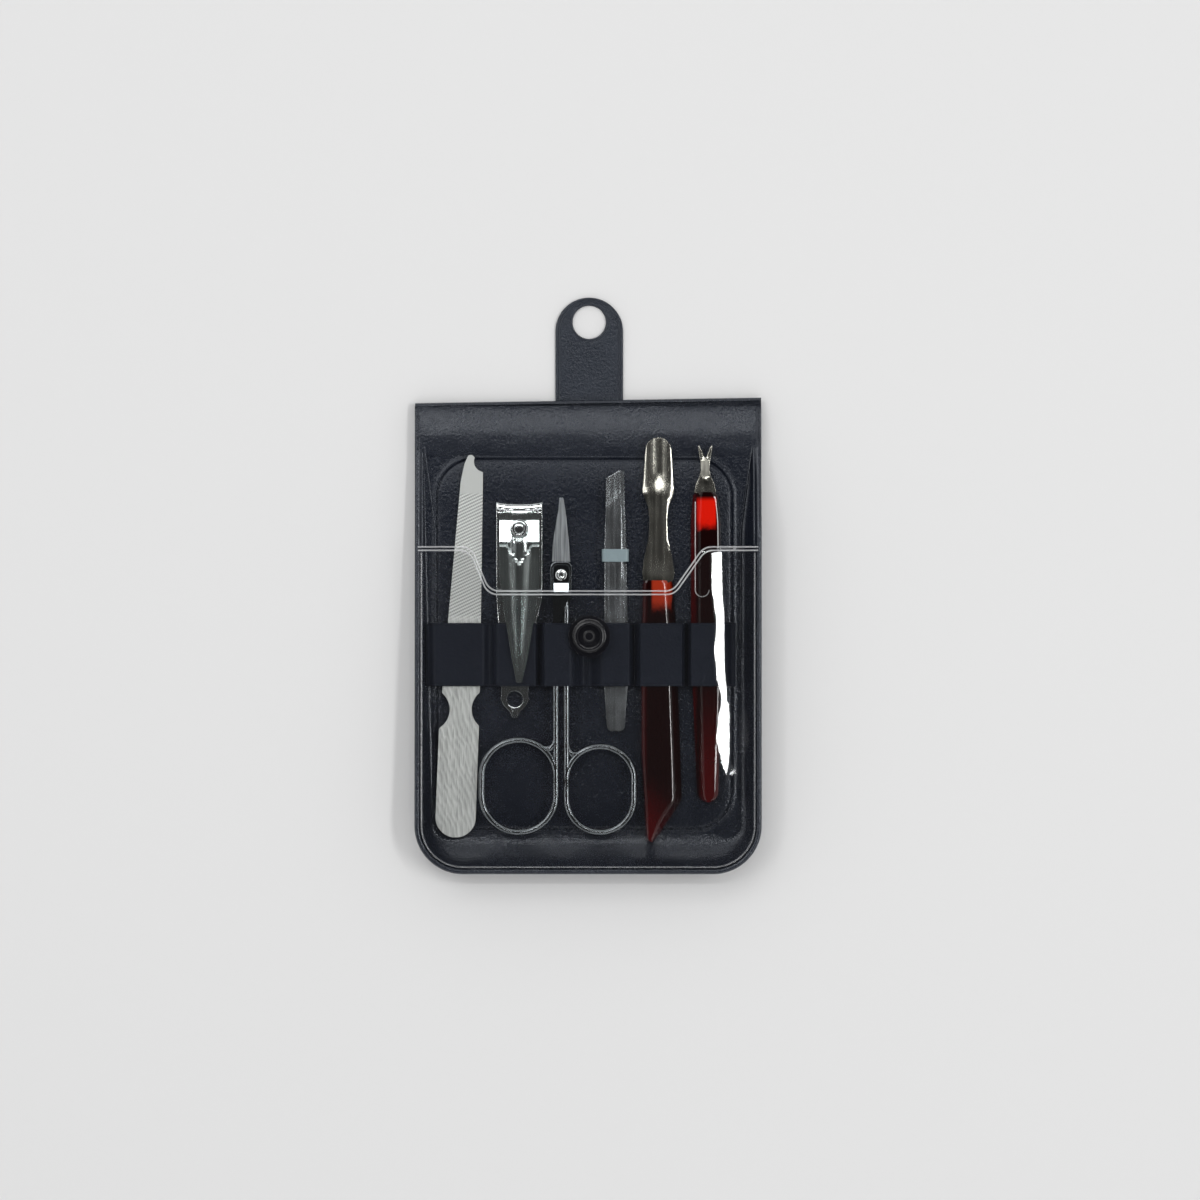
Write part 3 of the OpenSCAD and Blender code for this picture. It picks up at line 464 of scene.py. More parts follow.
class Paint:
    """A procedural material on one Principled shader."""

    def __init__(self, name, **fixed):
        self.material = bpy.data.materials.new(name)
        self.material.use_nodes = True
        self.tree = self.material.node_tree
        self.shader = next(n for n in self.tree.nodes if n.type == "BSDF_PRINCIPLED")
        self.output = next(n for n in self.tree.nodes if n.type == "OUTPUT_MATERIAL")
        for key, value in fixed.items():
            self.set(key.replace("_", " ").title(), value)

    def node(self, kind, settings=None, values=None):
        """Adds a node, with its settings first and then its socket values or links."""
        node = self.tree.nodes.new(kind)
        for key, value in (settings or {}).items():
            setattr(node, key, value)
        for key, value in (values or {}).items():
            self.feed(node.inputs[key], value)
        return node

    def feed(self, socket, value):
        """Sets or links one socket."""
        if isinstance(value, Value):
            self.tree.links.new(value.socket, socket)
        elif isinstance(value, bpy.types.NodeSocket):
            self.tree.links.new(value, socket)
        elif hasattr(value, "__len__") and len(value) == 3 and socket.type == "RGBA":
            socket.default_value = (*value, 1.0)
        else:
            socket.default_value = value

    def set(self, key, value):
        """Sets or links an input of the Principled shader."""
        self.feed(self.shader.inputs[key], value)

    def place(self):
        """x, y and z in millimetres in the row frame, and the vector of them."""
        source = self.node("ShaderNodeTexCoord").outputs["Object"]
        scaled = self.node("ShaderNodeVectorMath", {"operation": "SCALE"}, {0: source, "Scale": 1 / MM})
        parts = self.node("ShaderNodeSeparateXYZ", values={0: scaled.outputs[0]})
        return [Value(self, parts.outputs[i]) for i in range(3)] + [scaled.outputs[0]]

    def noise(self, vector, scale, detail=2.0, rough=0.5):
        """Noise of about 1 / scale millimetres, from 0 to 1."""
        values = {"Vector": vector, "Scale": scale, "Detail": detail, "Roughness": rough}
        return Value(self, self.node("ShaderNodeTexNoise", values=values).outputs["Fac"])

    def streaks(self, where, across, along):
        """Noise stretched along the case, so many waves to the millimetre each way."""
        values = {0: where, 1: (across, along, 1.0)}
        stretched = self.node("ShaderNodeVectorMath", {"operation": "MULTIPLY"}, values)
        return self.noise(stretched.outputs[0], 1.0, 3.0)

    def mix(self, factor, first, second):
        """A colour between two."""
        node = self.node("ShaderNodeMix", {"data_type": "RGBA"}, {0: factor, 6: first, 7: second})
        return node.outputs[2]

    def bump(self, height_mm):
        """Bumps of a height in millimetres, on the shader's normal."""
        values = {"Height": height_mm, "Distance": MM, "Strength": 1.0}
        self.set("Normal", self.node("ShaderNodeBump", values=values).outputs[0])


def dimmed(tint, share):
    """A share of a colour."""
    return [c * share for c in tint]


def vinyl_paint(name, tint, rough, grain, grain_mm, fleck, gloss):
    """Black vinyl with a leather grain and soft creases."""
    paint = Paint(name)
    where = paint.place()[3]
    values = {"Vector": where, "Scale": 1 / grain_mm}
    pattern = paint.node("ShaderNodeTexVoronoi", {"feature": "SMOOTH_F1"}, values)
    cells = Value(paint, pattern.outputs["Distance"])
    fine = paint.noise(where, 2.2 / grain_mm, 3.0)
    broad = paint.noise(where, 0.09, 3.0, 0.6)
    creases = paint.noise(where, 0.12, 2.0, 0.4)
    shade = (fine * fleck + broad * fleck * 0.8) + (1 - fleck * 0.9)
    lighter = [min(1.0, c * 2.4 + 0.003) for c in tint]
    paint.set("Base Color", paint.mix((shade - 0.75).rise(0.0, 0.6), tint, lighter))
    paint.set("Specular IOR Level", gloss)
    paint.set("Specular Tint", (0.88, 0.93, 1.0))
    paint.set("Roughness", (fine * 0.2) + (broad * 0.16) + (rough - 0.18))
    paint.bump(cells * grain + fine * (grain * 0.9) + creases * (grain * 0.9))
    return paint.material


def clear_paint(name, reflect, rough):
    """Clear sheet: mostly see-through, with a reflection."""
    paint = Paint(name, base_color=(0.95, 0.96, 0.97), metallic=1.0, roughness=rough)
    where = paint.place()[3]
    paint.bump(paint.noise(where, 0.25, 1.0) * 0.05)
    through = paint.node("ShaderNodeBsdfTransparent").outputs[0]
    sockets = {0: reflect, 1: through, 2: paint.shader.outputs[0]}
    mixed = paint.node("ShaderNodeMixShader", values=sockets)
    paint.tree.links.new(mixed.outputs[0], paint.output.inputs["Surface"])
    return paint.material


def metal_paint(name, tint, rough, streak, fine, cloud):
    """Polished metal, clouded, with streaks along the tools, fine of them to the millimetre."""
    paint = Paint(name, metallic=1.0)
    where = paint.place()[3]
    lines = paint.streaks(where, fine, fine * 0.02)
    broad = paint.noise(where, 0.18, 2.0)
    cover = (broad * 0.6 + lines * 0.4).rise(0.35, 0.65)
    paint.set("Base Color", paint.mix(cover, dimmed(tint, 1 - cloud * 2), tint))
    paint.set("Roughness", (lines * 0.12) + (rough - 0.06))
    if streak > 0:
        paint.bump(lines * streak)
    return paint.material


def scissor_paint(name, wire, blade):
    """The scissors: dark polished wire, and lighter ground blades."""
    paint = Paint(name, metallic=1.0)
    _, y, _, where = paint.place()
    screw_y = middle("scissor_screw")[1] + FOOT_MM
    ground = y.rise(screw_y + 3.1, screw_y + 3.7)
    lines = paint.streaks(where, 4.0, 0.1)
    steel = paint.mix(lines.rise(0.3, 0.7), dimmed(blade, 0.45), blade)
    paint.set("Base Color", paint.mix(ground, wire, steel))
    paint.set("Roughness", ground * 0.21 + lines * 0.06 + 0.07)
    return paint.material


def file_paint(name, tint):
    """The file: slanted teeth on the blade, and a wavy brushing on the handle."""
    paint = Paint(name, metallic=0.55, roughness=0.45)
    x, y, _, where = paint.place()
    low, high = span("nail_file")
    start = low[1] + (high[1] - low[1]) * 0.56 + FOOT_MM
    end = start + 34.0
    teeth = ((y - x * 0.48) * 7.1).sin() * 0.8 + ((y + x * 1.9) * 5.3).sin() * 0.2
    on_blade = y.rise(start, start + 2.5) * (1 - y.rise(end, end + 1.0))
    bend = paint.noise(where, 0.12, 2.0) * 7.0
    waves = paint.streaks(where, 2.6, 0.16)
    brushed = ((x * 0.9 + y * 0.35 + bend * 0.5) * 4.6 + waves * 8.0).sin()
    handle = 1 - y.rise(start, start + 2.5)
    plain = (brushed * 0.16 + waves.rise(0.25, 0.75) * 0.5 + 0.42) * handle
    plain = plain + (1 - handle) * (1 - on_blade) * 0.62
    tone = (teeth * 0.5 + 0.5) * on_blade + plain
    paint.set("Base Color", paint.mix(tone, dimmed(tint, 0.4), tint))
    paint.bump(teeth * on_blade * 0.035 + brushed * handle * 0.016)
    return paint.material


def resin_paint(name, glow, painted_glow_mask):
    """Dark red resin with painted light in its base colour: the mask function gives where a painted glow
    shows in it at its top, and where painted red light shows in it towards its foot.
    """
    tone = bpy.context.scene.manicure_colours
    paint = Paint(name, roughness=0.06)
    x, y, _, where = paint.place()
    mask, foot = painted_glow_mask(paint, x, y, where)
    # Painted light: the dark resin is turned towards painted red light where the second mask shows, and a
    # painted glow is laid over it where the first mask shows.
    paint.set("Base Color", paint.mix(mask, paint.mix(foot, tone.resin, tone.ember), glow))
    return paint.material


def plain_paint(name, tint, rough):
    """A plain finish with a slight mottle."""
    paint = Paint(name, roughness=rough)
    where = paint.place()[3]
    paint.set("Base Color", paint.mix(paint.noise(where, 1.2, 3.0), dimmed(tint, 0.84), tint))
    paint.bump(paint.noise(where, 2.0, 2.0) * 0.02)
    return paint.material


def floor_paint(name, tint):
    """A plain pale floor."""
    paint = Paint(name, roughness=0.9)
    paint.set("Base Color", tint)
    paint.set("Specular IOR Level", 0.0)
    return paint.material


def pusher_painted_light(paint, x, y, where):
    """Where a painted glow stands for the pusher's steel tang shining through its handle, and where painted
    red light shows in the resin towards its foot and along its left edge.
    """
    low, high = span("pusher_handle")
    left, foot, top = low[0], low[1] + FOOT_MM, high[1] + FOOT_MM
    wobble = paint.noise(where, 0.5, 3.0) * 3.0
    inside = x.rise(left + 2.6, left + 3.4) * (1 - (x + wobble * 0.5).rise(left + 8.6, left + 9.4))
    tip = 1 - (y + wobble * 1.5 + (x - left) * 0.8).rise(foot + 6, foot + 24)
    edge = 1 - (x + wobble * 0.3).rise(left + 0.8, left + 2.6)
    # inside marks the tang; the first mask is its painted glow, the second is painted red light towards the
    # foot and along the left edge.
    return inside * (y + wobble).rise(top - 7.6, top - 3.6), tip.most(edge * 0.7)


def trimmer_painted_light(paint, x, y, where):
    """The painted glow at the top of the trimmer's handle, and where painted red light shows in the resin
    towards its foot and along its left edge.
    """
    low, high = span("trimmer_handle")
    left, right, foot, top = low[0], high[0], low[1] + FOOT_MM, high[1] + FOOT_MM
    wobble = paint.noise(where, 0.45, 3.0) * 4.0
    inside = x.rise(left + 1.2, left + 1.9) * (1 - x.rise(right - 2.1, right - 1.4))
    tip = 1 - (y + wobble * 2.0).rise(foot + 8, foot + 40)
    edge = 1 - (x + wobble * 0.2).rise(left + 1.0, left + 2.4)
    # fade is the painted glow below the handle's top; tip and edge give painted red light towards the foot
    # and along the left edge.
    fade = (y + wobble).rise(top - 9.0, top - 5.0) * (1 - y.rise(top - 2.6, top - 0.9))
    return inside * fade, (tip * x.rise(left + 1.6, left + 3.4)).most(edge)


def finish(kind):
    """The material of one finish, made the first time that it is asked for."""
    name = kind + "_finish"
    found = bpy.data.materials.get(name)
    if found:
        return found
    tone = bpy.context.scene.manicure_colours
    makers = {
        "vinyl": (vinyl_paint, tone.vinyl, 0.25, 0.05, 0.6, 0.25, 0.6),
        "lining": (vinyl_paint, tone.lining, 0.26, 0.06, 0.7, 0.25, 0.38),
        "strap": (vinyl_paint, tone.strap, 0.42, 0.06, 0.6, 0.12, 0.13),
        "tab": (vinyl_paint, tone.tab, 0.3, 0.06, 0.6, 0.4, 0.42),
        "button": (plain_paint, tone.button, 0.14),
        "card": (plain_paint, tone.card, 0.85),
        "foam": (plain_paint, tone.foam, 0.95),
        "clear": (clear_paint, 0.062, 0.07),
        "clear_edge": (clear_paint, 0.14, 0.42),
        "clear_bead": (clear_paint, 0.26, 0.42),
        "file": (file_paint, tone.file),
        "chrome": (metal_paint, tone.chrome, 0.12, 0.0, 6.0, 0.06),
        "lever": (metal_paint, tone.lever, 0.15, 0.0, 6.0, 0.1),
        "scissor": (scissor_paint, tone.wire, tone.steel),
        "tweezer": (metal_paint, tone.steel, 0.24, 0.1, 1.3, 0.25),
        "collar": (plain_paint, tone.collar, 0.4),
        "warm": (metal_paint, tone.warm, 0.17, 0.03, 1.2, 0.25),
        "pusher_resin": (resin_paint, tone.pusher_glow, pusher_painted_light),
        "trimmer_resin": (resin_paint, tone.trimmer_glow, trimmer_painted_light),
        "floor": (floor_paint, tone.floor),
    }
    maker, *values = makers[kind]
    return maker(name, *values)


# ---- the case ----


def foot_path(inset, top_y, step=3.0):
    """The case's plan edge, moved in by inset: down the left side, round the foot, up the right."""
    low, high = span("back_cover")
    left, right, foot = low[0] + inset, high[0] - inset, low[1] + inset
    radius = 13.0 - inset

    def corner(x, first):
        turns = [first + math.pi / 2 * k / 18 for k in range(1, 19)]
        return [(x + radius * math.cos(a), foot + radius + radius * math.sin(a)) for a in turns]

    path = [(left, y) for y in frange(top_y, foot + radius, step)]
    path += corner(left + radius, math.pi)
    path += [(x, foot) for x in frange(left + radius, right - radius, step)[1:]]
    path += corner(right - radius, -math.pi / 2)
    return path + [(right, y) for y in frange(foot + radius, top_y, step)[1:]]


def rim_heights(y):
    """Foot, crest and depth over the lining of the rim at a place along the case, the depth
    as a share of its most."""
    high = span("edge_rim")[1]
    full = high[2] + 0.25
    crest = line_at([(0, full), (92, full), (high[1], 2.95), (130, 2.9)], y)
    foot = line_at([(0, 0.05), (103, 0.05), (108.9, 2.0), (130, 2.0)], y)
    return foot, crest, max(0.0, (crest - span("liner_sheet")[1][2] - 0.2) / 6.0)


def build_rim(shape):
    """The welded rim: a rounded outer edge, a groove, an inner bead and the wall down to the lining."""
    end = span("edge_rim")[1][1]
    lining = span("liner_sheet")[1][2]
    bead = shape.bead
    rings = []
    for (x, y), (ix, iy) in zip(foot_path(0.0, end), foot_path(1.0, end)):
        foot, crest, deep = rim_heights(y)
        squeeze = min(1.0, (crest - foot) / 3.5)
        nx, ny = ix - x, iy - y
        profile = [(0.5, foot), (0.1, foot + 0.12), (0.0, foot + 0.5 * squeeze)]
        for k in range(1, 8):
            a = math.pi * k / 8
            profile.append((bead * (1 - math.cos(a)), crest - bead * squeeze * (1 - math.sin(a))))
        top = crest - 0.12 * squeeze
        shoulder = top - 0.5 * squeeze
        profile += [(1.62, shoulder), (1.74, top - 0.28 * squeeze), (1.9, top - 0.02)]
        profile += [(2.08, top), (2.26, top - 0.14 * squeeze), (2.36, shoulder)]
        lean = (shape.wall_lean + (shape.foot_lean - shape.wall_lean) * max(0.0, ny) ** 2) * deep
        for k in range(1, 9):
            t = k / 8
            fall = (shoulder - lining) * (1 - (1 - t) ** 2.2)
            profile.append((2.36 + lean * t ** 1.2, shoulder - fall))
        profile += [(2.3 + lean, lining - 0.2), (1.0, lining - 0.2)]
        rings.append([(x + nx * u, y + ny * u, z) for u, z in profile])
    return loft("welded_rim", rings, sharp_deg=50)


def build_rim_lines(shape):
    """The clear sheet's welded edge along the rim, and the fold at the foot of each side wall."""
    crest = span("edge_rim")[1][2] + 0.27
    lining = span("liner_sheet")[1][2]
    edge = tube("edge", [(x, y, crest) for x, y in foot_path(1.95, 86.0)], 0.2)
    low, high = span("back_cover")
    folds = []
    for side, x in ((1, low[0]), (-1, high[0])):
        line = []
        for y in frange(58.0, 115.5, 2.0):
            lean = shape.wall_lean * rim_heights(y)[2]
            line.append((x + side * (2.5 + lean), y, lining + 0.08))
        folds.append(tube("fold", line, 0.26))
    return edge, joined("wall_folds", folds)


def rounded_loop(left, right, foot, top, foot_r, top_r):
    """A rounded rectangle whose points match those of any other made here."""
    corners = [
        (right - foot_r, foot + foot_r, foot_r, -90), (right - top_r, top - top_r, top_r, 0),
        (left + top_r, top - top_r, top_r, 90), (left + foot_r, foot + foot_r, foot_r, 180),
    ]
    loop = []
    for i, (x, y, r, first) in enumerate(corners):
        turns = [math.radians(first + 9 * k) for k in range(11)]
        loop += [(x + r * math.cos(a), y + r * math.sin(a)) for a in turns]
        nx, ny, nr, following = corners[(i + 1) % 4]
        a = math.radians(following)
        target = (nx + nr * math.cos(a), ny + nr * math.sin(a))
        here = loop[-1]
        for k in range(1, 22):
            t = k / 22
            loop.append((here[0] + (target[0] - here[0]) * t, here[1] + (target[1] - here[1]) * t))
    return loop


def pad_loop(grow):
    """The padded panel's weld line, moved out by grow, as one loop of points."""
    low, high = span("padded_panel")
    turn = 10.0 + grow
    return rounded_loop(low[0] - grow, high[0] + grow, low[1] - grow, high[1] + grow, turn, turn)


def build_lining(shape):
    """The lining sheet with the pressed groove round the padded panel."""
    low, high = span("liner_sheet")
    edge = rounded_loop(low[0], high[0], low[1], high[1], 10.8, 0.6)
    top = high[2]
    half = shape.groove / 2
    deep = shape.groove_deep
    levels = [
        (-1.2, -deep), (-0.4, -deep), (0.0, -deep), (half * 0.7, -deep * 0.9), (half * 1.4, -deep * 0.2),
        (half * 2.0, 0.22), (half * 3.0, 0.26), (half * 4.0, 0.12), (half * 6.0, 0.0), (half * 9.0, 0.0),
    ]
    rings = [[(x, y, top + lift) for x, y in pad_loop(grow)] for grow, lift in levels]
    last = pad_loop(half * 9.0)
    for k in range(1, 9):
        t = k / 8
        ring = []
        for (ax, ay), (bx, by) in zip(last, edge):
            x, y = ax + (bx - ax) * t, ay + (by - ay) * t
            ring.append((x, y, top + ripple(x * 0.09, y * 0.09, 3.0) * 0.14 * (1 - t)))
        rings.append(ring)
    rings += [[(x, y, low[2]) for x, y in loop] for loop in (edge, pad_loop(-1.2))]
    return loft("lining", [*rings, rings[0]], capped=False, sharp_deg=50)


def build_pad():
    """The padded panel: it swells from its weld line and dimples softly."""
    low, high = span("padded_panel")
    cx, cy = middle("padded_panel")
    crown = high[2] - low[2]
    rings = [[(x, y, low[2] - 0.15) for x, y in pad_loop(-0.1)]]
    loop = pad_loop(-0.05)
    for t in (0.0, 0.004, 0.012, 0.025, 0.045, 0.075, 0.12, 0.18, 0.26, 0.36, 0.48, 0.62, 0.76, 0.9):
        height = low[2] + crown * (0.1 + 0.9 * min(1.0, t / 0.12) ** 0.45)
        ring = []
        for x, y in loop:
            px, py = x + (cx - x) * t, y + (cy - y) * t
            wave = ripple(px * 0.07, py * 0.07, 9.0) * 0.12 - 0.1
            ring.append((px, py, height + wave * min(1.0, t / 0.1)))
        rings.append(ring)
    rings.append([(cx, cy, low[2] + crown - 0.1)] * len(loop))
    return loft("padded_lining", rings, capped=False, sharp_deg=60)


def mouth_path(back):
    """The mouth's line with rounded turns, moved back from its edge."""
    low, high = span("clear_pocket")
    left, right, top = low[0] + 1.0, high[0] - 1.0, high[1] - back
    slip = 0.42 * back
    corners = [
        (left, top, 0), (-31.2 - slip, top, 4), (-26.3 - slip, top - 11.8, 4),
        (22.6 + slip, top - 11.8, 4), (30.9 + slip, top, 4), (right, top, 0),
    ]
    return rounded([*corners, (right, -40, 0), (left, -40, 0)], 8)[:-2]


def facet_drop(x, y, shape):
    """How far the clear sheet falls beside the trimmer: an even slope, then a rise to the rim."""
    start = line_at([
        (26, 36.6), (29.3, 35.2), (35.8, 33.8), (42.3, 34.3), (46.5, 35.2), (53.2, 33.6),
        (60.5, 33.2), (67.7, 33.6), (75, 32.6), (88, 32.2),
    ], y)
    end = line_at([
        (26, 37.7), (33, 38.5), (43.5, 38.5), (46, 38.0), (51.9, 37.3), (65, 37.0), (88, 36.2),
    ], y)
    fall = shape.pocket_dip / 5.0 * min(max(x - start, 0.0), end - start)
    swell = shape.pocket_swell * smooth(x, start - 6.0, start)
    along = smooth(y, 17.0, 27.0) * (1 - smooth(y, 86.0, 88.0))
    return (fall - swell) * (1 - smooth(x, end + 0.3, 44.3)) * along


def sheet_height(x, y, shape):
    """Top of the clear sheet: it dips and waves between the tools under it and the rim."""
    hold = max(smooth(abs(x), 41.0, 45.0), 1 - smooth(y, 3.0, 8.0))
    wave = ripple(x * 0.07, y * 0.045, 1.0) + 0.5 * ripple(x * 0.16, y * 0.1, 5.0)
    calm = hold + (1 - hold) * smooth(x, 30.0, 33.0)
    return 9.12 + wave * shape.pocket_wave * (1 - calm) - facet_drop(x, y, shape) + 0.06 * hold


def build_pocket(shape):
    """The clear sheet and the double welded bead along its mouth."""
    low, high = span("clear_pocket")
    edge, radius = 0.9, 12.1
    left, right, foot = low[0] + edge, high[0] - edge, low[1] + edge
    path = mouth_path(0.4)
    grid = []
    for x in frange(left, right, 0.62):
        reach = max(0.0, radius - (x - left), radius - (right - x))
        bottom = foot + radius - math.sqrt(max(0.0, radius**2 - reach**2))
        top = line_at(path, x)
        ys = [bottom + (top - bottom) * k / 140 for k in range(141)]
        grid.append([(x, y, sheet_height(x, y, shape)) for y in ys])
    sheet = slab("clear_sheet", grid, 0.28)
    beads = []
    for back in (0.22, 1.15):
        line = mouth_path(back)
        dense = []
        for a, b in zip(line, line[1:]):
            steps = max(1, int(math.dist(a, b) / 1.5))
            dense += [[a[m] + (b[m] - a[m]) * k / steps for m in (0, 1)] for k in range(steps)]
        path = [(x, y, sheet_height(x, y, shape) + 0.08) for x, y in [*dense, line[-1]]]
        beads.append(tube("bead", path, 0.22, 10))
    return sheet, joined("mouth_bead", beads)


def build_strap():
    """The strap: cloth-backed vinyl that drapes over each tool and is welded between them."""
    low, high = span("loop_strap")
    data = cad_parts["loop_strap"].data
    tree = BVHTree.FromPolygons([v.co for v in data.vertices], [p.vertices for p in data.polygons])
    mid_y = middle("loop_strap")[1]

    def read(x):
        hit = tree.ray_cast(Vector(row_point(x, mid_y, 30)), Vector((0, 0, -1)))[0]
        return hit.z / MM if hit else low[2] + 0.4

    xs = frange(low[0] + 0.02, high[0] - 0.02, 0.25)
    raw = [read(x) for x in xs]
    heights = [float(np.mean(raw[max(0, i - 2) : i + 3])) for i in range(len(raw))]
    across = list(zip(xs, heights))
    grid = []
    for x, z in across:
        sag = 0.12 * smooth(z, 4.2, 6.0)
        steps = [k / 26 for k in range(27)]
        grid.append([
            (x, low[1] + (high[1] - low[1]) * t, z - math.sin(math.pi * t) * sag + 0.05) for t in steps
        ])
    parts = [slab("strap", grid, 0.36)]
    for x in strap_welds(across):
        z = line_at(across, x) + 0.1
        for side in (-0.28, 0.28):
            line = [(x + side, y, z) for y in frange(low[1] + 0.3, high[1] - 0.3, 2.0)]
            parts.append(tube("weld", line, 0.11))
    for y in (low[1] + 0.25, high[1] - 0.25):
        parts.append(tube("hem", [(x, y, z + 0.06) for x, z in across], 0.14))
    return joined("strap_band", parts)


def strap_welds(across):
    """Places across where the strap is down between two loops."""
    floor = min(z for _, z in across) + 0.15
    places, run = [], []
    for x, z in [*across, (0.0, math.inf)]:
        if z < floor:
            run.append(x)
        elif run:
            places.append(sum(run) / len(run))
            run = []
    return places


def build_button():
    """The button: a flange, a turned head with a dish, and a small boss."""
    low, high = span("button_cap")
    flange = [
        (1.5, 0), (5.2, 0), (5.55, 0.1), (5.6, 0.22), (5.5, 0.36), (5.1, 0.4), (4.6, 0.34),
        (4.35, 0.42), (4.2, 0.7),
    ]
    head = [
        (4.18, -0.55), (4.05, -0.25), (3.8, -0.06), (3.5, 0), (3.2, -0.06), (2.95, -0.3), (2.75, -0.75),
        (2.5, -0.95), (1.6, -1.0), (1.4, -0.9), (1.3, -0.6), (1.05, -0.42), (0.5, -0.38), (0.0, -0.38),
    ]
    stem = [(0.0, low[2]), (1.5, low[2])]
    profile = [*stem, *moved(flange, 0, high[2] - 2.2), *moved(head, 0, high[2])]
    return lathe("button", *middle("button_cap"), profile, 72)


def flap_rise(u):
    """Share of the flap's crown at a distance above the band's lower edge."""
    if u < 5.0:
        return 1.0 - ((5.0 - u) / 9.0) ** 2
    return 0.5 + 0.5 * math.cos(math.pi * min(1.0, (u - 5.0) / 8.0))


def build_flap_band(shape):
    """The band of vinyl over the flap's fold, with two beads at each side."""
    low, high = span("flap_top")
    start, left, right, top = low[1] - 5.6, low[0], high[0], high[2]
    grid = []
    for x in frange(left, right, 1.1):
        end = high[1] - 0.35 + 0.35 * x / HALF_WIDTH
        column = []
        for k in range(29):
            y = start + (end - start) * k / 28
            wave = ripple(x * 0.05, y * 0.16, 4.0) * 0.06 + ripple(x * 0.16, y * 0.3, 8.0) * 0.04
            ends = 1 - 0.5 * smooth(abs(x), 44.2, 46.4)
            column.append((x, y, top + 0.05 + (shape.flap_crown + wave) * flap_rise(y - start) * ends))
        grid.append(column)
    parts = [slab("flap_band", grid, 0.24)]
    for side, x in ((-1, left), (1, right)):
        for inset, r in ((0.34, shape.edge_bead), (1.15, shape.edge_bead * 0.75)):
            line = []
            for k in range(25):
                y = start - 0.3 + (high[1] - 0.3 - start) * k / 24
                lift = 0.12 + shape.flap_crown * flap_rise(y - start) * 0.5
                line.append((x - side * inset, y, top + lift))
            parts.append(tube("side", line, r))
    return joined("flap_band_skin", parts)


def build_flap_middle(shape):
    """The flap's folded layer: a sheet that turns back at both of its edges."""
    top_low, top_high = span("flap_top")
    low, high = span("flap_middle")
    upper = (high[1], (top_low[2] + high[2]) / 2)
    lower = (low[1], (low[2] + span("flap_end")[1][2]) / 2)
    roll = (top_high[2] - low[2]) / 2
    inner = roll - (high[2] - low[2])
    around = [math.radians(90 - 15 * k) for k in range(13)]

    def turn(centre, across, up, angles):
        return [(centre[0] + across * math.cos(a), centre[1] + up * math.sin(a)) for a in angles]

    outline = turn(upper, roll, roll, around) + turn(lower, -inner, inner, around)
    outline += turn(lower, -roll, roll, around[::-1]) + turn(upper, inner, inner, around[::-1])
    rings = []
    for x in frange(top_low[0] + 0.05, top_high[0] - 0.05, 3.0):
        slant = shape.flap_slant * x / HALF_WIDTH
        rings.append([(x, y + (slant if y > upper[0] - 4 else 0.0), z) for y, z in outline])
    return loft("flap_middle_layer", rings, sharp_deg=40)


def tab_outline(inset):
    """The tab's edge, moved in by inset: straight sides and a round end."""
    low, high = span("closing_tab")
    cx, half = middle("closing_tab")[0], (high[0] - low[0]) / 2
    r = half - inset
    cy = high[1] - half
    turns = [math.radians(a) for a in range(0, 181, 6)]
    outline = [(cx + r, low[1] + inset), (cx + r, cy - 6)]
    outline += [(cx + r * math.cos(a), cy + r * math.sin(a)) for a in turns]
    return outline + [(cx - r, cy - 6), (cx - r, low[1] + inset)]


def build_tab():
    """The closing tab with its hole, and the beads pressed round both."""
    low, high = span("closing_tab")
    hole = (middle("closing_tab")[0], high[1] - 6.65)
    sheet = plate("tab_sheet", [tab_outline(0.0), circle(*hole, 4.45, 48)], low[2], high[2], 0.2)
    parts = [sheet]
    for line, lift, radius, closed in (
        (tab_outline(1.1), 0.0, 0.17, False),
        (tab_outline(0.36), -0.16, 0.34, False),
        (circle(*hole, 4.85, 48), -0.02, 0.26, True),
    ):
        path = [(x, y, high[2] + lift) for x, y in line]
        parts.append(tube("bead", path, radius, closed=closed))
    return joined("tab", parts)


# ---- the tools ----


def arc(off, radius):
    """Height of a circle at a distance from its middle, or minus infinity outside it."""
    return math.sqrt(radius**2 - off**2) if abs(off) < radius else -math.inf


def build_file():
    """The nail file: rounded foot, waist with two notches, blade with a hooked tip."""
    low, high = span("nail_file")
    end_r = (high[0] - low[0]) / 2.352
    cx, foot, tip = low[0] + end_r, low[1], high[1]
    reach = tip - foot
    waist, notch = reach * 0.334, 5.8
    left_line = side_line(0.0, (foot, (
        (end_r, -end_r), (waist - notch, -4.5), (reach * 0.395, -3.5), (reach * 0.559, -2.1),
        (reach * 0.933, 1.4),
    )), (tip, ((-2.6, 2.4), (-0.5, 3.3), (0, 4.0))))
    right_line = side_line(0.0, (foot, (
        (end_r, end_r), (waist - notch, 6.2), (reach * 0.395, 6.5), (reach * 0.933, 7.3),
    )), (tip, ((-4.7, 7.3), (-2.2, 6.4), (-0.4, 4.6), (0, 4.01))))
    waist += foot
    shoulder = foot + end_r

    def left(y):
        x = -arc(shoulder - y, end_r) if y < shoulder else left_line(y)
        return cx + max(x, -1.6 - notch + arc(y - waist, notch))

    def right(y):
        x = arc(shoulder - y, end_r) if y < shoulder else right_line(y)
        return cx + min(x, 4.3 + notch - arc(y - waist, notch), 7.7 - arc(y - tip + 2.0, 2.8))

    ys = [foot + end_r * (1 - math.cos(math.radians(a))) for a in range(6, 91, 6)]
    ys += frange(shoulder + 1, waist - notch - 0.4, 2.0)
    ys += frange(waist - notch, waist + notch, 0.45)
    ys += frange(waist + notch + 0.8, tip - 5.2, 2.5)
    ys += frange(tip - 4.9, tip - 0.25, 0.25)
    return plate("nail_file_blade", [two_sides(ys, left, right)], low[2], high[2], 0.16)


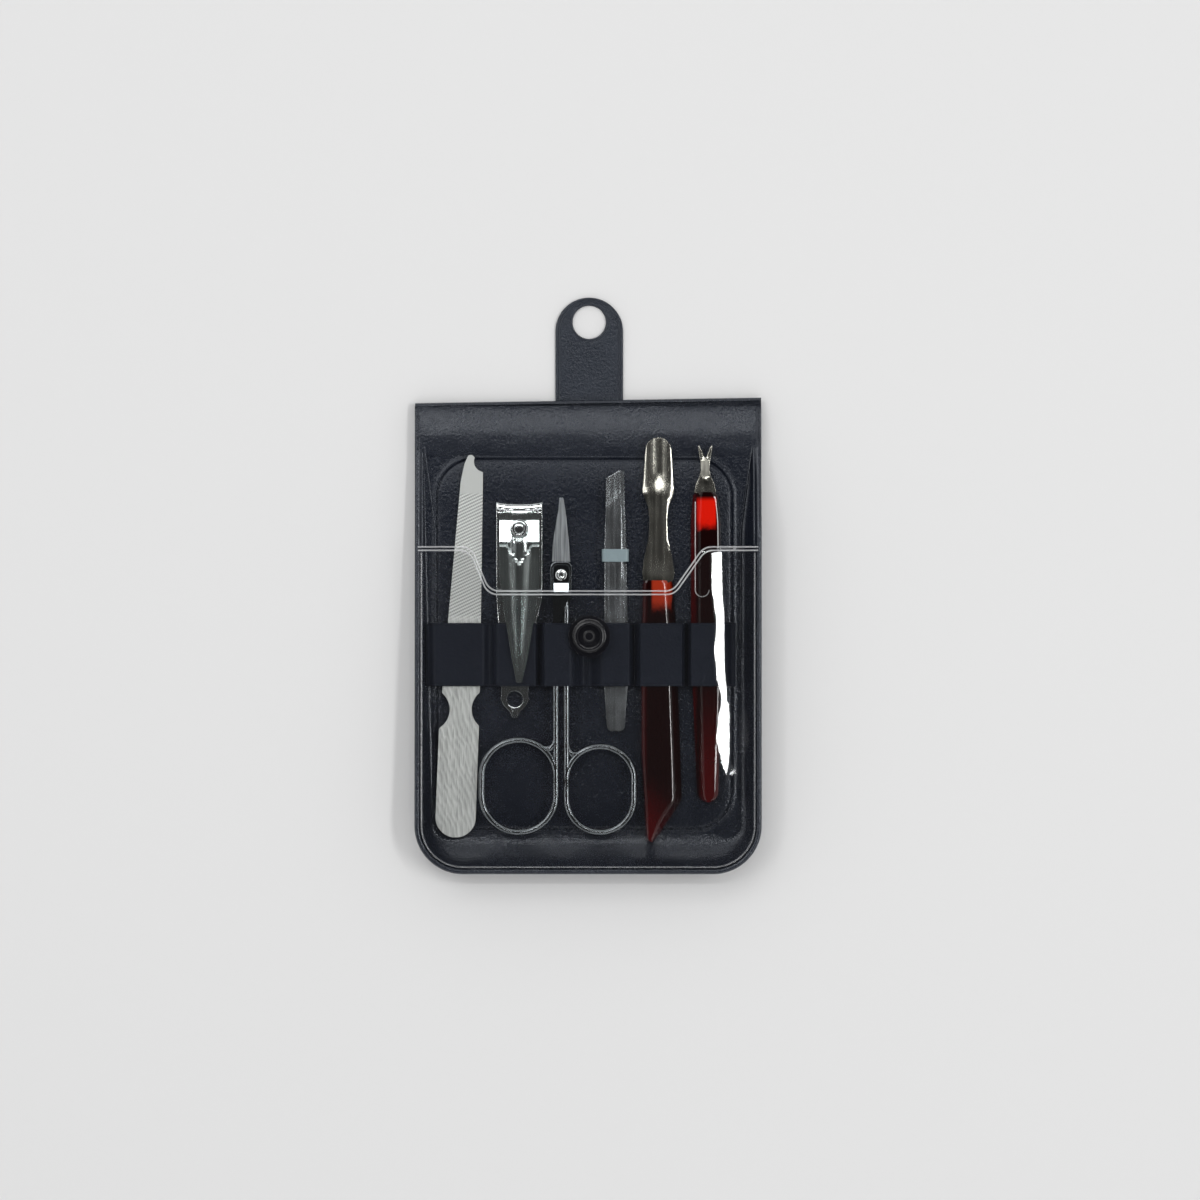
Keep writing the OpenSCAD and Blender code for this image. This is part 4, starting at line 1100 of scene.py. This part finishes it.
def build_clipper_arms(tools):
    """The clipper's arms: a square jaw, straight body, and a narrowing tail with a ring."""
    low, high = span("clipper_lower_arm")
    arm_low, arm_high = span("clipper_upper_arm")
    cx, foot, top = middle("clipper_lower_arm")[0], low[1], high[1]
    half, thick = 6.15, 0.8
    left = side_line(cx, (foot, (
        (0, -1.9), (1.6, -2.6), (3.5, -4.4), (5, -5.0), (6.6, -4.9), (9.2, -4.75), (25.4, -5.7),
    )), (top, ((-26, -half), (0, -half))))
    right = side_line(cx, (foot, (
        (0, -0.5), (1.6, 0.2), (3.5, 2.0), (5, 2.5), (6.6, 2.3), (9.2, 2.6), (25.4, 4.4),
    )), (top, ((-26, half), (0, half))))
    ys = [foot, foot + 0.5, foot + 1.0, foot + 1.6, *frange(foot + 2.2, foot + 12, 0.7)]
    ys += [*frange(foot + 13, top - 1.2, 2.0), top - 0.5, top]

    def jaw_bend(x):
        return 0.55 * (1 - ((x - cx) / half) ** 2)

    jaw = [(cx + d, top - jaw_bend(cx + d)) for d in (-5, -3.5, -2, 0, 2, 3.5, 5)]
    outlines = [two_sides(ys, left, right, jaw), circle(cx - 1.2, foot + 5.0, 2.15, 30)]
    edge = tools.steel_edge

    def lower_warp(x, y, z):
        return z + 0.5 * smooth(y, top - 2.6, top)

    cuts = [top - 2.6, top - 1.3]
    lower = plate("clipper_base", outlines, low[2], low[2] + thick, edge, (), cuts, lower_warp)
    rise = arm_high[2] - arm_low[2] - thick
    wedge = foot + 8.2

    def arm_warp(x, y, z):
        lifted = z + rise * max(0.0, (y - wedge) / (top - wedge))
        if z < arm_low[2] + thick / 2:
            return lifted
        past = y - top + jaw_bend(x)
        lip = 0.14 * min(max(past + 2.75, 0.0), 0.5) + 0.14 * min(max(past + 1.2, 0.0), 0.7)
        lip += 0.3 * max(past + 0.5, 0.0) + 0.22 * smooth(past, -1.75, -1.5)
        curve = 0.12 * ((x - cx) / half) ** 2 * smooth(y, wedge, wedge + 20)
        return lifted - lip - curve

    cuts = [wedge, *frange(wedge + 4, top - 5, 4.0), *frange(top - 4.2, top - 0.3, 0.2)]
    cuts_x = [cx + d for d in (-5.6, *frange(-5.1, 5.1, 0.85), 5.6)]
    top_z = arm_low[2] + thick
    upper = plate("clipper_arm", outlines, arm_low[2], top_z, edge, cuts_x, cuts, arm_warp, 25)
    return lower, upper


def build_lever(tools):
    """The clipper's lever, with its folded tongue, and the pin through it."""
    low, high = span("clipper_lever")
    pin_low, pin_high = span("clipper_pin")
    px, py = middle("clipper_pin")
    end = low[1]
    corners = [
        *moved([(-5.3, -0.3, 1.2), (-3.2, 0, 3), (3.2, 0, 3), (5.3, -0.3, 1.2)], px, high[1]),
        *moved([(5.4, -12, 8), (4.3, -22, 12), (2.2, -35, 4)], px, py),
        *moved([(0.7, 0.3, 0.6), (-0.8, 0.3, 0.6)], px, end),
        *moved([(-2.0, -35, 4), (-4.1, -22, 12), (-5.4, -12, 8)], px, py),
    ]

    def warp(x, y, z):
        off = abs(x - px)
        taper = line_at([(end, 0.15), (py - 22, 0.78), (py - 8, 1.0)], y)
        body = -tools.lever_crown * 0.5 * min(max(off - 0.75 * taper, 0.0), 2.5 * taper)
        ragged = 6.0 + 0.6 * ripple(x * 1.4, 0.0, 6.0)
        slope = 0.14 - 0.04 * math.exp(-((off / 2.8) ** 4))
        saddle = -0.62 + slope * min(max(py + 2.3 - y, 0.0), ragged)
        channel = -0.3 * math.exp(-((off / 1.5) ** 4)) * (1 - smooth(y, py - 0.6, py + 0.6))
        tongue = py - 4.3 - 5.3 * max(0.0, 1 - off / 3.4)
        t = smooth(y, tongue - 0.35, tongue + 0.15)
        return z + body * (1 - t) + (saddle + channel) * t - 0.02

    cuts = [*frange(end + 2, py - 10.6, 2.0), *frange(py - 10.2, py - 3.8, 0.35)]
    cuts += [*frange(py - 3.4, py + 2.0, 0.9), py + 2.3, py + 2.7, py + 3.4]
    lever = plate(
        "clipper_thumb_lever", [rounded(corners), circle(px, py, 1.25, 24)], high[2] - 0.75,
        high[2] - 0.15, 0.18, frange(px - 5, px + 5, 0.5), cuts, warp, 22,
    )
    head = [
        (1.1, -0.7), (2.35, -0.7), (2.4, -0.5), (2.3, -0.3), (2.0, -0.22), (1.75, -0.42),
        (1.45, -0.45), (1.25, -0.1), (0.9, -0.02), (0.0, 0),
    ]
    profile = [(0.0, pin_low[2]), (1.1, pin_low[2]), *moved(head, 0, pin_high[2])]
    return lever, lathe("clipper_pin_turned", px, py, profile)


def build_scissors():
    """Both scissor halves in steel wire and plate, and the slotted screw."""
    right_low, right_high = span("scissor_right_half")
    left_low, left_high = span("scissor_left_half")
    screw_low, screw_high = span("scissor_screw")
    sx, sy = middle("scissor_screw")
    tip = left_high[1]
    wire = 0.85
    wire_z, low_z = left_high[2] - 1.0, right_low[2] + 0.15
    left_shank, right_shank = sx - 1.425, sx + 1.425
    foot = left_low[1] + wire

    def bow(side, shank, r):
        """A finger ring, its shank and the crook between them."""
        x, low_y = shank - side * r, foot + r
        high_y, neck = low_y + 5.3, sy - 4.6
        turns = [math.pi * k / 48 for k in range(49)]
        ring = [(x + r * math.cos(a), high_y + r * 0.96 * math.sin(a), wire_z) for a in turns]
        ring += [(x - r * math.cos(a), low_y - r * math.sin(a), wire_z) for a in turns]
        straight = [(shank, y, wire_z) for y in frange(high_y - 2, neck - 5, 3.0)]
        straight += [(shank + side * 0.25, neck - 2.5, wire_z), (shank + side * 0.6, neck, wire_z)]
        crook = []
        for a in map(math.radians, (66, 58, 50)):
            crook.append((x + side * r * math.cos(a), high_y + r * 0.96 * math.sin(a), wire_z - 0.02))
        near = crook[-1][1]
        for back, ahead in ((1.6, -0.1), (0.5, 1.0), (0.0, 3.4)):
            crook.append((shank - side * back, near + ahead, wire_z))
        return (
            tube("ring", ring, wire, 16, closed=True),
            tube("shank", straight, wire, 16),
            tube("crook", crook, [0.6, 0.75, 0.85, 0.85, 0.8, 0.6], 12),
        )

    def crossing(side, low, high):
        corners = [
            (-2.7, -5.0, 0.2), (2.7, -5.0, 0.2), (2.2, -8.2, 1.0),
            (2.2, -13.5, 0.2), (0.65, -13.5, 0.2), (-1.2, -8.0, 1.0),
        ]
        corners = moved([(-side * x, y, r) for x, y, r in corners], sx, sy)
        return plate("crossing", [rounded(corners)], low, high, 0.22)

    def blade(side, low, high):
        ridge = sx + 0.25 * side
        corners = [
            *moved([(-2.45, 3.2, 0), (2.45, 3.2, 0), (2.1, 8.5, 6), (1.35, 15.5, 6)], sx, sy),
            *moved([(0.55, -0.9, 1), (0.2, 0, 0.2), (-0.2, 0, 0.2)], ridge, tip),
            (sx - 0.75, tip - 3.5, 2), *moved([(-1.5, 13, 6), (-2.2, 8.5, 6)], sx, sy),
        ]

        def warp(x, y, z):
            fall = (0.1 if x < ridge else 0.2) * min(1.0, abs(x - ridge) / 2.2)
            return z - fall if z > (low + high) / 2 else z

        return plate("blade", [rounded(corners)], low, high, 0.1, [ridge], frange(sy + 4, tip - 1, 2), warp)

    def step_warp(x, y, z):
        return z + 0.14 * (sy - 2.2 - y)

    box = rounded(moved([(-2.9, 3.5, 1.6), (2.9, 3.5, 1.6), (2.75, -5.6, 1.2), (-2.75, -5.6, 1.2)], sx, sy))
    well = rounded(moved([(-2.1, 2.6, 1), (2.1, 2.6, 1), (2.0, -3.6, 0.6), (-2.0, -3.6, 0.6)], sx, sy))
    step = moved([(-2.0, -4.6), (2.0, -4.6), (2.0, -2.2), (-2.0, -2.2)], sx, sy)
    right = joined("scissor_right", [
        blade(-1, low_z, low_z + 0.75),
        plate("box", [box, circle(sx, sy, 0.95, 24)], low_z - 0.15, low_z + 0.8, 0.15),
        *bow(-1, right_shank, (right_high[0] - wire - right_shank) / 2),
        crossing(-1, low_z - 0.1, low_z + 0.8),
    ])
    left = joined("scissor_left", [
        blade(1, wire_z + 0.05, wire_z + 0.85),
        plate("box", [box, circle(sx, sy, 1.0, 24)], wire_z + 0.02, wire_z + 0.62, 0.12),
        plate("frame", [box, well], wire_z + 0.5, wire_z + 1.0, 0.3),
        *bow(1, left_shank, (left_shank - left_low[0] - wire) / 2),
        crossing(1, wire_z + 0.05, wire_z + 0.85),
        plate("step", [step], wire_z + 0.5, wire_z + 0.8, warp=step_warp),
    ])
    head = [
        (0.9, -0.5), (1.45, -0.5), (1.5, -0.25), (1.3, -0.06), (0.95, 0), (0.72, -0.1), (0.6, -0.3),
        (0.3, -0.34), (0.0, -0.34),
    ]
    profile = [(0.0, screw_low[2]), (0.9, screw_low[2]), *moved(head, 0, screw_high[2])]
    return right, left, lathe("scissor_screw_turned", sx, sy, profile, 40)


def build_tweezers(tools):
    """The tweezers' two arms and their collar."""
    low, high = span("tweezer_lower_arm")
    arm_low, arm_high = span("tweezer_upper_arm")
    cx = middle("tweezer_lower_arm")[0] - 0.15
    foot, tip = low[1], high[1]
    thick = 0.7

    def outline(gain):
        return rounded([
            *moved([(-2.2, 0, 1.5), (2.4, 0, 1.5), (3.3, 12, 6), (3.3 + gain, 29, 10)], cx, foot),
            *moved([
                (2.95 + gain, -22, 8), (2.6 + gain, -12, 6), (2.3 + gain, 0, 0.3),
                (-2.45, -2.2, 0.5), (-2.6, -12, 6), (-2.95, -22, 8),
            ], cx, tip),
            *moved([(-2.9, 29, 10), (-3.0, 12, 6)], cx, foot),
        ])

    lower = plate("tweezer_under_arm", [outline(0.0)], low[2], high[2], tools.steel_edge)
    rise = arm_high[2] - arm_low[2] - thick
    hinge = foot + 8

    def warp(x, y, z):
        lifted = z + rise * max(0.0, (y - hinge) / (tip - hinge))
        if z < arm_low[2] + thick / 2:
            return lifted
        bow = 0.22 * ((x - cx) / 3.0) ** 2 * smooth(y, foot + 6, foot + 20)
        ground = max(0.0, y - (tip - 7.6 + (x - cx)))
        return lifted - bow * (1 - smooth(y, tip - 14, tip - 10)) - 0.11 * min(ground, 0.4) - 0.035 * ground

    cuts = [hinge, *frange(hinge + 3, tip - 13, 3.0), *frange(tip - 11, tip - 0.6, 0.5)]
    cuts_x = [cx + d for d in (-2.2, -1.5, -0.8, 0, 0.8, 1.5, 2.2)]
    top_z = arm_low[2] + thick
    upper = plate(
        "tweezer_over_arm", [outline(-0.9)], arm_low[2], top_z, 0.26, cuts_x, cuts, warp, 25
    )
    (x0, y0, z0), (x1, y1, z1) = span("tweezer_collar")
    rings = []
    for y, inset, low_r, high_r in (
        (y0, 0.12, 0.6, 0.9), (y0 + 0.12, 0.0, 0.6, 0.9), (y1 - 0.12, 0.0, 0.6, 0.9),
        (y1, 0.12, 0.6, 0.9), (y1, 0.35, 0.4, 0.7), (y0, 0.35, 0.4, 0.7),
    ):
        section = rounded([
            (x0 + inset, z0 + inset, low_r), (x1 - inset, z0 + inset, low_r),
            (x1 - inset, z1 - inset, high_r), (x0 + inset, z1 - inset, high_r),
        ])
        rings.append([(x, y, z) for x, z in section])
    return lower, upper, loft("tweezer_band", [*rings, rings[0]], capped=False, sharp_deg=40)


def resin_handle(name, ys, left, right, low, high, bevel, left_bevel):
    """A moulded handle: a flat top between two narrow facets, and steep flanks down to its base."""
    rings = []
    for y in ys:
        a, b = left(y), right(y)
        wide = b - a
        crease = b - min(bevel, wide * 0.3)
        left_crease = a + min(left_bevel, wide * 0.25)
        facet = min(0.9, wide * 0.12)
        section = [
            (a + 0.3, low), (b - 0.3, low), (b, low + 0.3), (b, low + 0.7), (crease + 0.1, high - 0.36),
            (crease - 0.1, high - 0.25), (crease - 0.1 - facet * 0.5, high - 0.12),
            (crease - 0.1 - facet, high), (left_crease + 0.1 + facet * 0.6, high),
            (left_crease + 0.1, high - 0.2), (left_crease, high - 0.35), (a, low + 0.7), (a, low + 0.3),
        ]
        rings.append([(x, y, z) for x, z in section])
    return loft(name, rings, sharp_deg=16)


def build_pusher(tools):
    """The cuticle pusher: a waisted steel blade and a bevelled resin handle."""
    low, high = span("pusher_handle")
    blade_low, blade_high = span("pusher_blade")
    foot, top = low[1], high[1]
    left = side_line(
        low[0], (foot, ((0, 3.0), (0.5, 1.6), (1.4, 1.3), (24, 0.0))),
        (top, ((-18, 0.0), (-1.0, 0.4), (0, 0.9))),
    )
    right = side_line(
        high[0], (foot, ((0, -8.0), (0.5, -7.2), (10.6, -0.4), (11.8, 0.0), (22, -0.3))),
        (top, ((-12, -1.6), (-1.0, -2.3), (0, -2.8))),
    )
    ys = [foot, foot + 0.2, foot + 0.5, foot + 1.0, *frange(foot + 1.8, foot + 10, 1.6)]
    ys += [foot + 10.6, foot + 11.2, foot + 11.8, *frange(foot + 14, top - 2, 3.0), top - 1, top - 0.4, top]
    handle = resin_handle("pusher_grip", ys, left, right, low[2], high[2], tools.handle_bevel, 0.4)
    cx, tip = middle("pusher_blade")[0], blade_high[1]
    reach, end_r = tip - top, 3.4
    half = [
        (-1, 2.6), (0.0, 4.0), (0.06, 4.3), (0.16, 3.75), (0.29, 2.6), (0.43, 2.35), (0.52, 2.75),
        (0.6, 4.0), (0.64, 4.2), (0.72, 3.95), (0.9, 3.45), (1.2, end_r),
    ]
    ys = [*frange(top - 9, top - 0.6, 2.8), *frange(top, tip - end_r, 0.9)]

    def side(sign):
        line = [(cx + sign * (2.6 if y < top - 0.3 else line_at(half, (y - top) / reach)), y) for y in ys]
        for a in map(math.radians, range(8, 90, 8)):
            line.append((cx + sign * end_r * math.cos(a), tip - end_r + end_r * math.sin(a)))
        return line

    def warp(x, y, z):
        if y < top or z < (blade_low[2] + blade_high[2]) / 2:
            return z
        t = (y - top) / reach
        across = x - cx
        scoop = 0.62 * math.exp(-(((across - 0.3) / 1.9) ** 2)) * smooth(t, 0.59, 0.77)
        crest = 0.12 * (1 - (across / 4.2) ** 2) * (1 - smooth(t, 0.0, 0.2))
        on_spoon = t > 0.58
        start = 2.75 if on_spoon else 2.15
        right_fall = 0.32 if on_spoon else 0.32 * smooth(t, 0.2, 0.28)
        fall = 0.32 * max(0.0, -across - start) * smooth(t, 0.6, 0.66) + right_fall * max(0.0, across - start)
        return z - scoop + crest - fall

    cuts_x = [cx + d for d in (-2.75, -1.95, -1.2, -0.6, 0, 0.3, 0.7, 1.3, 2.15, 2.75)]
    outline = [*side(-1), (cx, tip), *reversed(side(1))]
    cuts = frange(top + 0.5, tip - 1, 1.1)
    blade = plate("pusher_steel", [outline], blade_low[2], blade_high[2], 0.4, cuts_x, cuts, warp, 25)
    return handle, blade


def build_trimmer(tools):
    """The cuticle trimmer: a slender resin handle, a small steel fork and the seam on the handle."""
    low, high = span("trimmer_handle")
    fork_low, fork_high = span("trimmer_fork")
    foot, top, end_r = low[1], high[1], 3.0
    mid, shoulder = low[0] + 4.6, foot + end_r
    left_line = side_line(
        low[0], (foot, ((end_r, mid - end_r - low[0]),)),
        (top, ((-42, 0.0), (-7, 0.0), (-0.8, 0.6), (0, 1.3))),
    )
    right_line = side_line(
        high[0], (foot, ((end_r, mid + end_r - high[0]),)),
        (top, ((-42, 0.0), (-7, -0.3), (-0.8, -1.0), (0, -1.8))),
    )
    ys = [shoulder - end_r * math.cos(math.radians(a)) for a in range(12, 90, 11)]
    ys += [*frange(shoulder, top - 2, 3.0), top - 0.8, top - 0.3, top]

    def end(y):
        return math.sqrt(max(0.05, end_r**2 - (shoulder - y) ** 2))

    def left(y):
        return mid - end(y) if y < shoulder else left_line(y)

    def right(y):
        return mid + end(y) if y < shoulder else right_line(y)

    handle = resin_handle("trimmer_grip", ys, left, right, low[2], high[2], 0.5, tools.handle_bevel)
    loop_x, loop_y, loop_r = mid - 1.65, top - 26.1, 1.85
    loop = [(loop_x - loop_r, y, high[2]) for y in frange(top - 2.5, loop_y, 2.0)]
    for a in (math.radians(180 + 15 * k) for k in range(13)):
        loop.append((loop_x + loop_r * math.cos(a), loop_y + loop_r * math.sin(a), high[2]))
    seam = tube("trimmer_seam", loop, 0.15)
    cx, tip = middle("trimmer_fork")[0], fork_high[1]
    half = [
        *moved([(1.8, -7), (1.8, -0.2), (2.9, 0), (2.5, 2.2), (1.5, 4.4), (1.15, 6.0), (1.3, 8.4)], 0, top),
        *moved([(1.95, -0.3), (1.75, 0), (1.3, -0.6), (0.35, -3.0)], 0, tip),
    ]
    outline = [(cx - 1.8, top - 7), *[(cx + x, y) for x, y in half], (cx, tip - 3.3)]
    outline += [(cx - x, y) for x, y in half[:0:-1]]

    def warp(x, y, z):
        if y < top or z < (fork_low[2] + fork_high[2]) / 2:
            return z
        ridge = 0.55 * max(0.0, 1 - abs(x - cx) / 1.1) * smooth(y, top + 2, top + 5)
        return z + ridge * (1 - smooth(y, tip - 4.2, tip - 3.2))

    cuts_x, cuts = [cx - 1.1, cx, cx + 1.1], frange(top + 1, tip - 1, 1.0)
    fork = plate("trimmer_steel", [outline], fork_low[2], fork_high[2], 0.18, cuts_x, cuts, warp, 20)
    return handle, fork, seam


# ---- operators ----


class BuildShell(bpy.types.Operator):
    """Build the welded rim and finish the back cover, card and foam"""

    bl_idname = "manicure.shell"
    bl_label = "Shell"

    def execute(self, context):
        shape = context.scene.manicure_case
        settle(
            [build_rim(shape), *build_rim_lines(shape)],
            ("case", "vinyl", "black_vinyl", "edge_rim"),
            ("case", "clear_edge", "clear_vinyl"),
            ("case", "vinyl", "black_vinyl"),
        )
        show_node("back_cover", "vinyl", 0.12)
        show_node("stiffener_card", "card")
        show_node("foam_sheet", "foam")
        return {"FINISHED"}


class BuildLining(bpy.types.Operator):
    """Build the lining sheet with its pressed groove and the padded panel"""

    bl_idname = "manicure.lining"
    bl_label = "Lining and padded panel"

    def execute(self, context):
        pieces = [build_lining(context.scene.manicure_case), build_pad()]
        settle(
            pieces,
            ("case", "lining", "black_lining", "liner_sheet"),
            ("case", "lining", "black_lining", "padded_panel"),
        )
        return {"FINISHED"}


class BuildPocket(bpy.types.Operator):
    """Build the clear pocket sheet and the bead along its mouth"""

    bl_idname = "manicure.pocket"
    bl_label = "Clear pocket"

    def execute(self, context):
        settle(
            build_pocket(context.scene.manicure_case),
            ("case", "clear", "clear_vinyl", "clear_pocket"),
            ("case", "clear_bead", "clear_vinyl"),
        )
        return {"FINISHED"}


class BuildStrap(bpy.types.Operator):
    """Build the strap of loops that holds the tools"""

    bl_idname = "manicure.strap"
    bl_label = "Loop strap"

    def execute(self, context):
        settle([build_strap()], ("case", "strap", "strap_vinyl", "loop_strap"))
        return {"FINISHED"}


class BuildButton(bpy.types.Operator):
    """Build the turned button and finish its washer"""

    bl_idname = "manicure.button"
    bl_label = "Button"

    def execute(self, context):
        settle([build_button()], ("case", "button", "button_black", "button_cap"))
        show_node("button_washer", "button", 0.08)
        return {"FINISHED"}


class BuildFlap(bpy.types.Operator):
    """Build the flap's folded band and the closing tab"""

    bl_idname = "manicure.flap"
    bl_label = "Flap and tab"

    def execute(self, context):
        shape = context.scene.manicure_case
        band = build_flap_band(shape)
        band.data.materials.append(finish("vinyl"))
        fold_y = span("flap_top")[0][1]
        row_point(0, fold_y - 0.8, 2.5)
        row_point(0, fold_y + 0.6, 2.5)
        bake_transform(band)
        show_node("flap_top", "vinyl", 0.1)
        settle(
            [build_flap_middle(shape), build_tab()],
            ("flap_middle", "vinyl", "black_vinyl", "flap_middle"),
            ("flap_end", "tab", "black_vinyl", "closing_tab"),
        )
        show_node("flap_end", "vinyl", 0.1)
        return {"FINISHED"}


class BuildFile(bpy.types.Operator):
    """Build the nail file"""

    bl_idname = "manicure.nail_file"
    bl_label = "Nail file"

    def execute(self, context):
        settle([build_file()], ("file", "file", "file_steel", "nail_file"))
        return {"FINISHED"}


class BuildClipper(bpy.types.Operator):
    """Build the nail clipper's arms, lever and pin"""

    bl_idname = "manicure.clipper"
    bl_label = "Nail clipper"

    def execute(self, context):
        tools = context.scene.manicure_tools
        settle(
            [*build_clipper_arms(tools), *build_lever(tools)],
            ("clipper", "chrome", "chrome", "clipper_lower_arm"),
            ("clipper_top", "chrome", "chrome", "clipper_upper_arm"),
            ("lever", "lever", "chrome", "clipper_lever"),
            ("clipper", "chrome", "chrome", "clipper_pin"),
        )
        show_node("clipper_rivet", "chrome", 0.06)
        return {"FINISHED"}


class BuildScissors(bpy.types.Operator):
    """Build both scissor halves and their screw"""

    bl_idname = "manicure.scissors"
    bl_label = "Scissors"

    def execute(self, context):
        settle(
            build_scissors(),
            ("scissors", "scissor", "steel", "scissor_right_half"),
            ("scissor_left", "scissor", "steel", "scissor_left_half"),
            ("scissors", "chrome", "steel", "scissor_screw"),
        )
        return {"FINISHED"}


class BuildTweezers(bpy.types.Operator):
    """Build the tweezers and their collar"""

    bl_idname = "manicure.tweezers"
    bl_label = "Tweezers"

    def execute(self, context):
        settle(
            build_tweezers(context.scene.manicure_tools),
            ("tweezers", "tweezer", "steel", "tweezer_lower_arm"),
            ("tweezer_top", "tweezer", "steel", "tweezer_upper_arm"),
            ("tweezers", "collar", "collar_grey", "tweezer_collar"),
        )
        return {"FINISHED"}


class BuildPusher(bpy.types.Operator):
    """Build the cuticle pusher"""

    bl_idname = "manicure.pusher"
    bl_label = "Cuticle pusher"

    def execute(self, context):
        settle(
            build_pusher(context.scene.manicure_tools),
            ("pusher", "pusher_resin", "red_resin", "pusher_handle"),
            ("pusher", "warm", "warm_steel", "pusher_blade"),
        )
        return {"FINISHED"}


class BuildTrimmer(bpy.types.Operator):
    """Build the cuticle trimmer"""

    bl_idname = "manicure.trimmer"
    bl_label = "Cuticle trimmer"

    def execute(self, context):
        settle(
            build_trimmer(context.scene.manicure_tools),
            ("trimmer", "trimmer_resin", "red_resin", "trimmer_handle"),
            ("trimmer", "warm", "warm_steel", "trimmer_fork"),
            ("trimmer", "clear_bead", "clear_vinyl"),
        )
        return {"FINISHED"}


def area_light(name, watts, size, at):
    """An oblong light aimed at the middle of the floor."""
    lamp = bpy.data.lights.new(name, "AREA")
    lamp.shape = "RECTANGLE"
    lamp.size, lamp.size_y = size
    lamp.energy = watts
    holder = bpy.data.objects.new(name, lamp)
    bpy.context.scene.collection.objects.link(holder)
    holder.location = at
    holder.rotation_euler = (-Vector(at)).to_track_quat("-Z", "Y").to_euler()
    return holder


def light_room(look):
    """A room that is bright at its sides and darker overhead."""
    world = bpy.data.worlds.new("room")
    world.use_nodes = True
    tree = world.node_tree
    source = tree.nodes.new("ShaderNodeTexCoord").outputs["Generated"]
    parts = tree.nodes.new("ShaderNodeSeparateXYZ")
    ramp = tree.nodes.new("ShaderNodeMapRange")
    tree.links.new(source, parts.inputs[0])
    tree.links.new(parts.outputs[2], ramp.inputs[0])
    for i, value in enumerate((0.3, 0.95, look.sky_side, look.sky_top), 1):
        ramp.inputs[i].default_value = value
    shade = next(n for n in tree.nodes if n.type == "BACKGROUND")
    shade.inputs[0].default_value = (1.0, 1.0, 1.0, 1.0)
    tree.links.new(ramp.outputs[0], shade.inputs[1])
    bpy.context.scene.world = world


class BuildStage(bpy.types.Operator):
    """Build the floor, the lights, the room and the camera"""

    bl_idname = "manicure.stage"
    bl_label = "Stage"

    def execute(self, context):
        look = context.scene.manicure_stage
        reach = 4.0
        corners = [(-reach, -reach, 0), (reach, -reach, 0), (reach, reach, 0), (-reach, reach, 0)]
        mesh = bpy.data.meshes.new("floor")
        mesh.from_pydata(corners, [], [(0, 1, 2, 3)])
        ground = bpy.data.objects.new("floor", mesh)
        context.scene.collection.objects.link(ground)
        ground.data.materials.append(finish("floor"))
        key = area_light("key_light", look.key_power, (0.9, 0.9), (-0.75, 0.75, 1.35))
        strip = area_light("strip_light", look.strip_power, (0.9, 0.16), (0.936, -0.02, 1.3))
        left = area_light("left_light", look.left_power, (0.9, 0.05), (-0.936, -0.02, 1.3))
        foot = area_light("foot_light", look.foot_power, (0.9, 0.2), (0.2, -0.95, 1.25))
        top = area_light("top_light", look.top_power, (1.3, 0.22), (-0.1, 1.0, 1.15))
        near = area_light("near_light", look.near_power, (0.8, 0.09), (0.0, 0.37, 1.3))
        light_room(look)
        lens = bpy.data.cameras.new("camera")
        camera = bpy.data.objects.new("camera", lens)
        context.scene.collection.objects.link(camera)
        camera.location = (0.0032, -0.00395, look.distance)
        lens.lens = lens.sensor_width * look.distance / look.seen_width
        context.scene.camera = camera
        context.scene.view_settings.view_transform = "Standard"
        return {"FINISHED"}


class ManicurePanel(bpy.types.Panel):
    """Lists the settings and the pieces"""

    bl_idname = "VIEW3D_PT_manicure"
    bl_label = "Manicure set case"
    bl_space_type = "VIEW_3D"
    bl_region_type = "UI"
    bl_category = "Manicure set"

    def draw(self, context):
        for name, group in SETTINGS.items():
            settings = getattr(context.scene, name)
            for key in group.__annotations__:
                self.layout.prop(settings, key)
        for operator in OPERATORS:
            self.layout.operator(operator.bl_idname)


SETTINGS = {
    "manicure_case": CaseShape,
    "manicure_tools": ToolShape,
    "manicure_colours": Colours,
    "manicure_stage": StageLook,
}
OPERATORS = (
    BuildShell, BuildLining, BuildPocket, BuildStrap, BuildButton, BuildFlap, BuildFile,
    BuildClipper, BuildScissors, BuildTweezers, BuildPusher, BuildTrimmer, BuildStage,
)


def register():
    """Registers the classes and hangs the settings on the scene."""
    for cls in (*SETTINGS.values(), *OPERATORS, ManicurePanel):
        bpy.utils.register_class(cls)
    for name, group in SETTINGS.items():
        setattr(bpy.types.Scene, name, PointerProperty(type=group))


def unregister():
    """Takes the settings and the classes away again."""
    for name in SETTINGS:
        delattr(bpy.types.Scene, name)
    for cls in (ManicurePanel, *reversed(OPERATORS), *reversed(SETTINGS.values())):
        bpy.utils.unregister_class(cls)


def main():
    register()
    for operator in OPERATORS:
        group, name = operator.bl_idname.split(".")
        getattr(getattr(bpy.ops, group), name)()


if __name__ == "__main__":
    main()
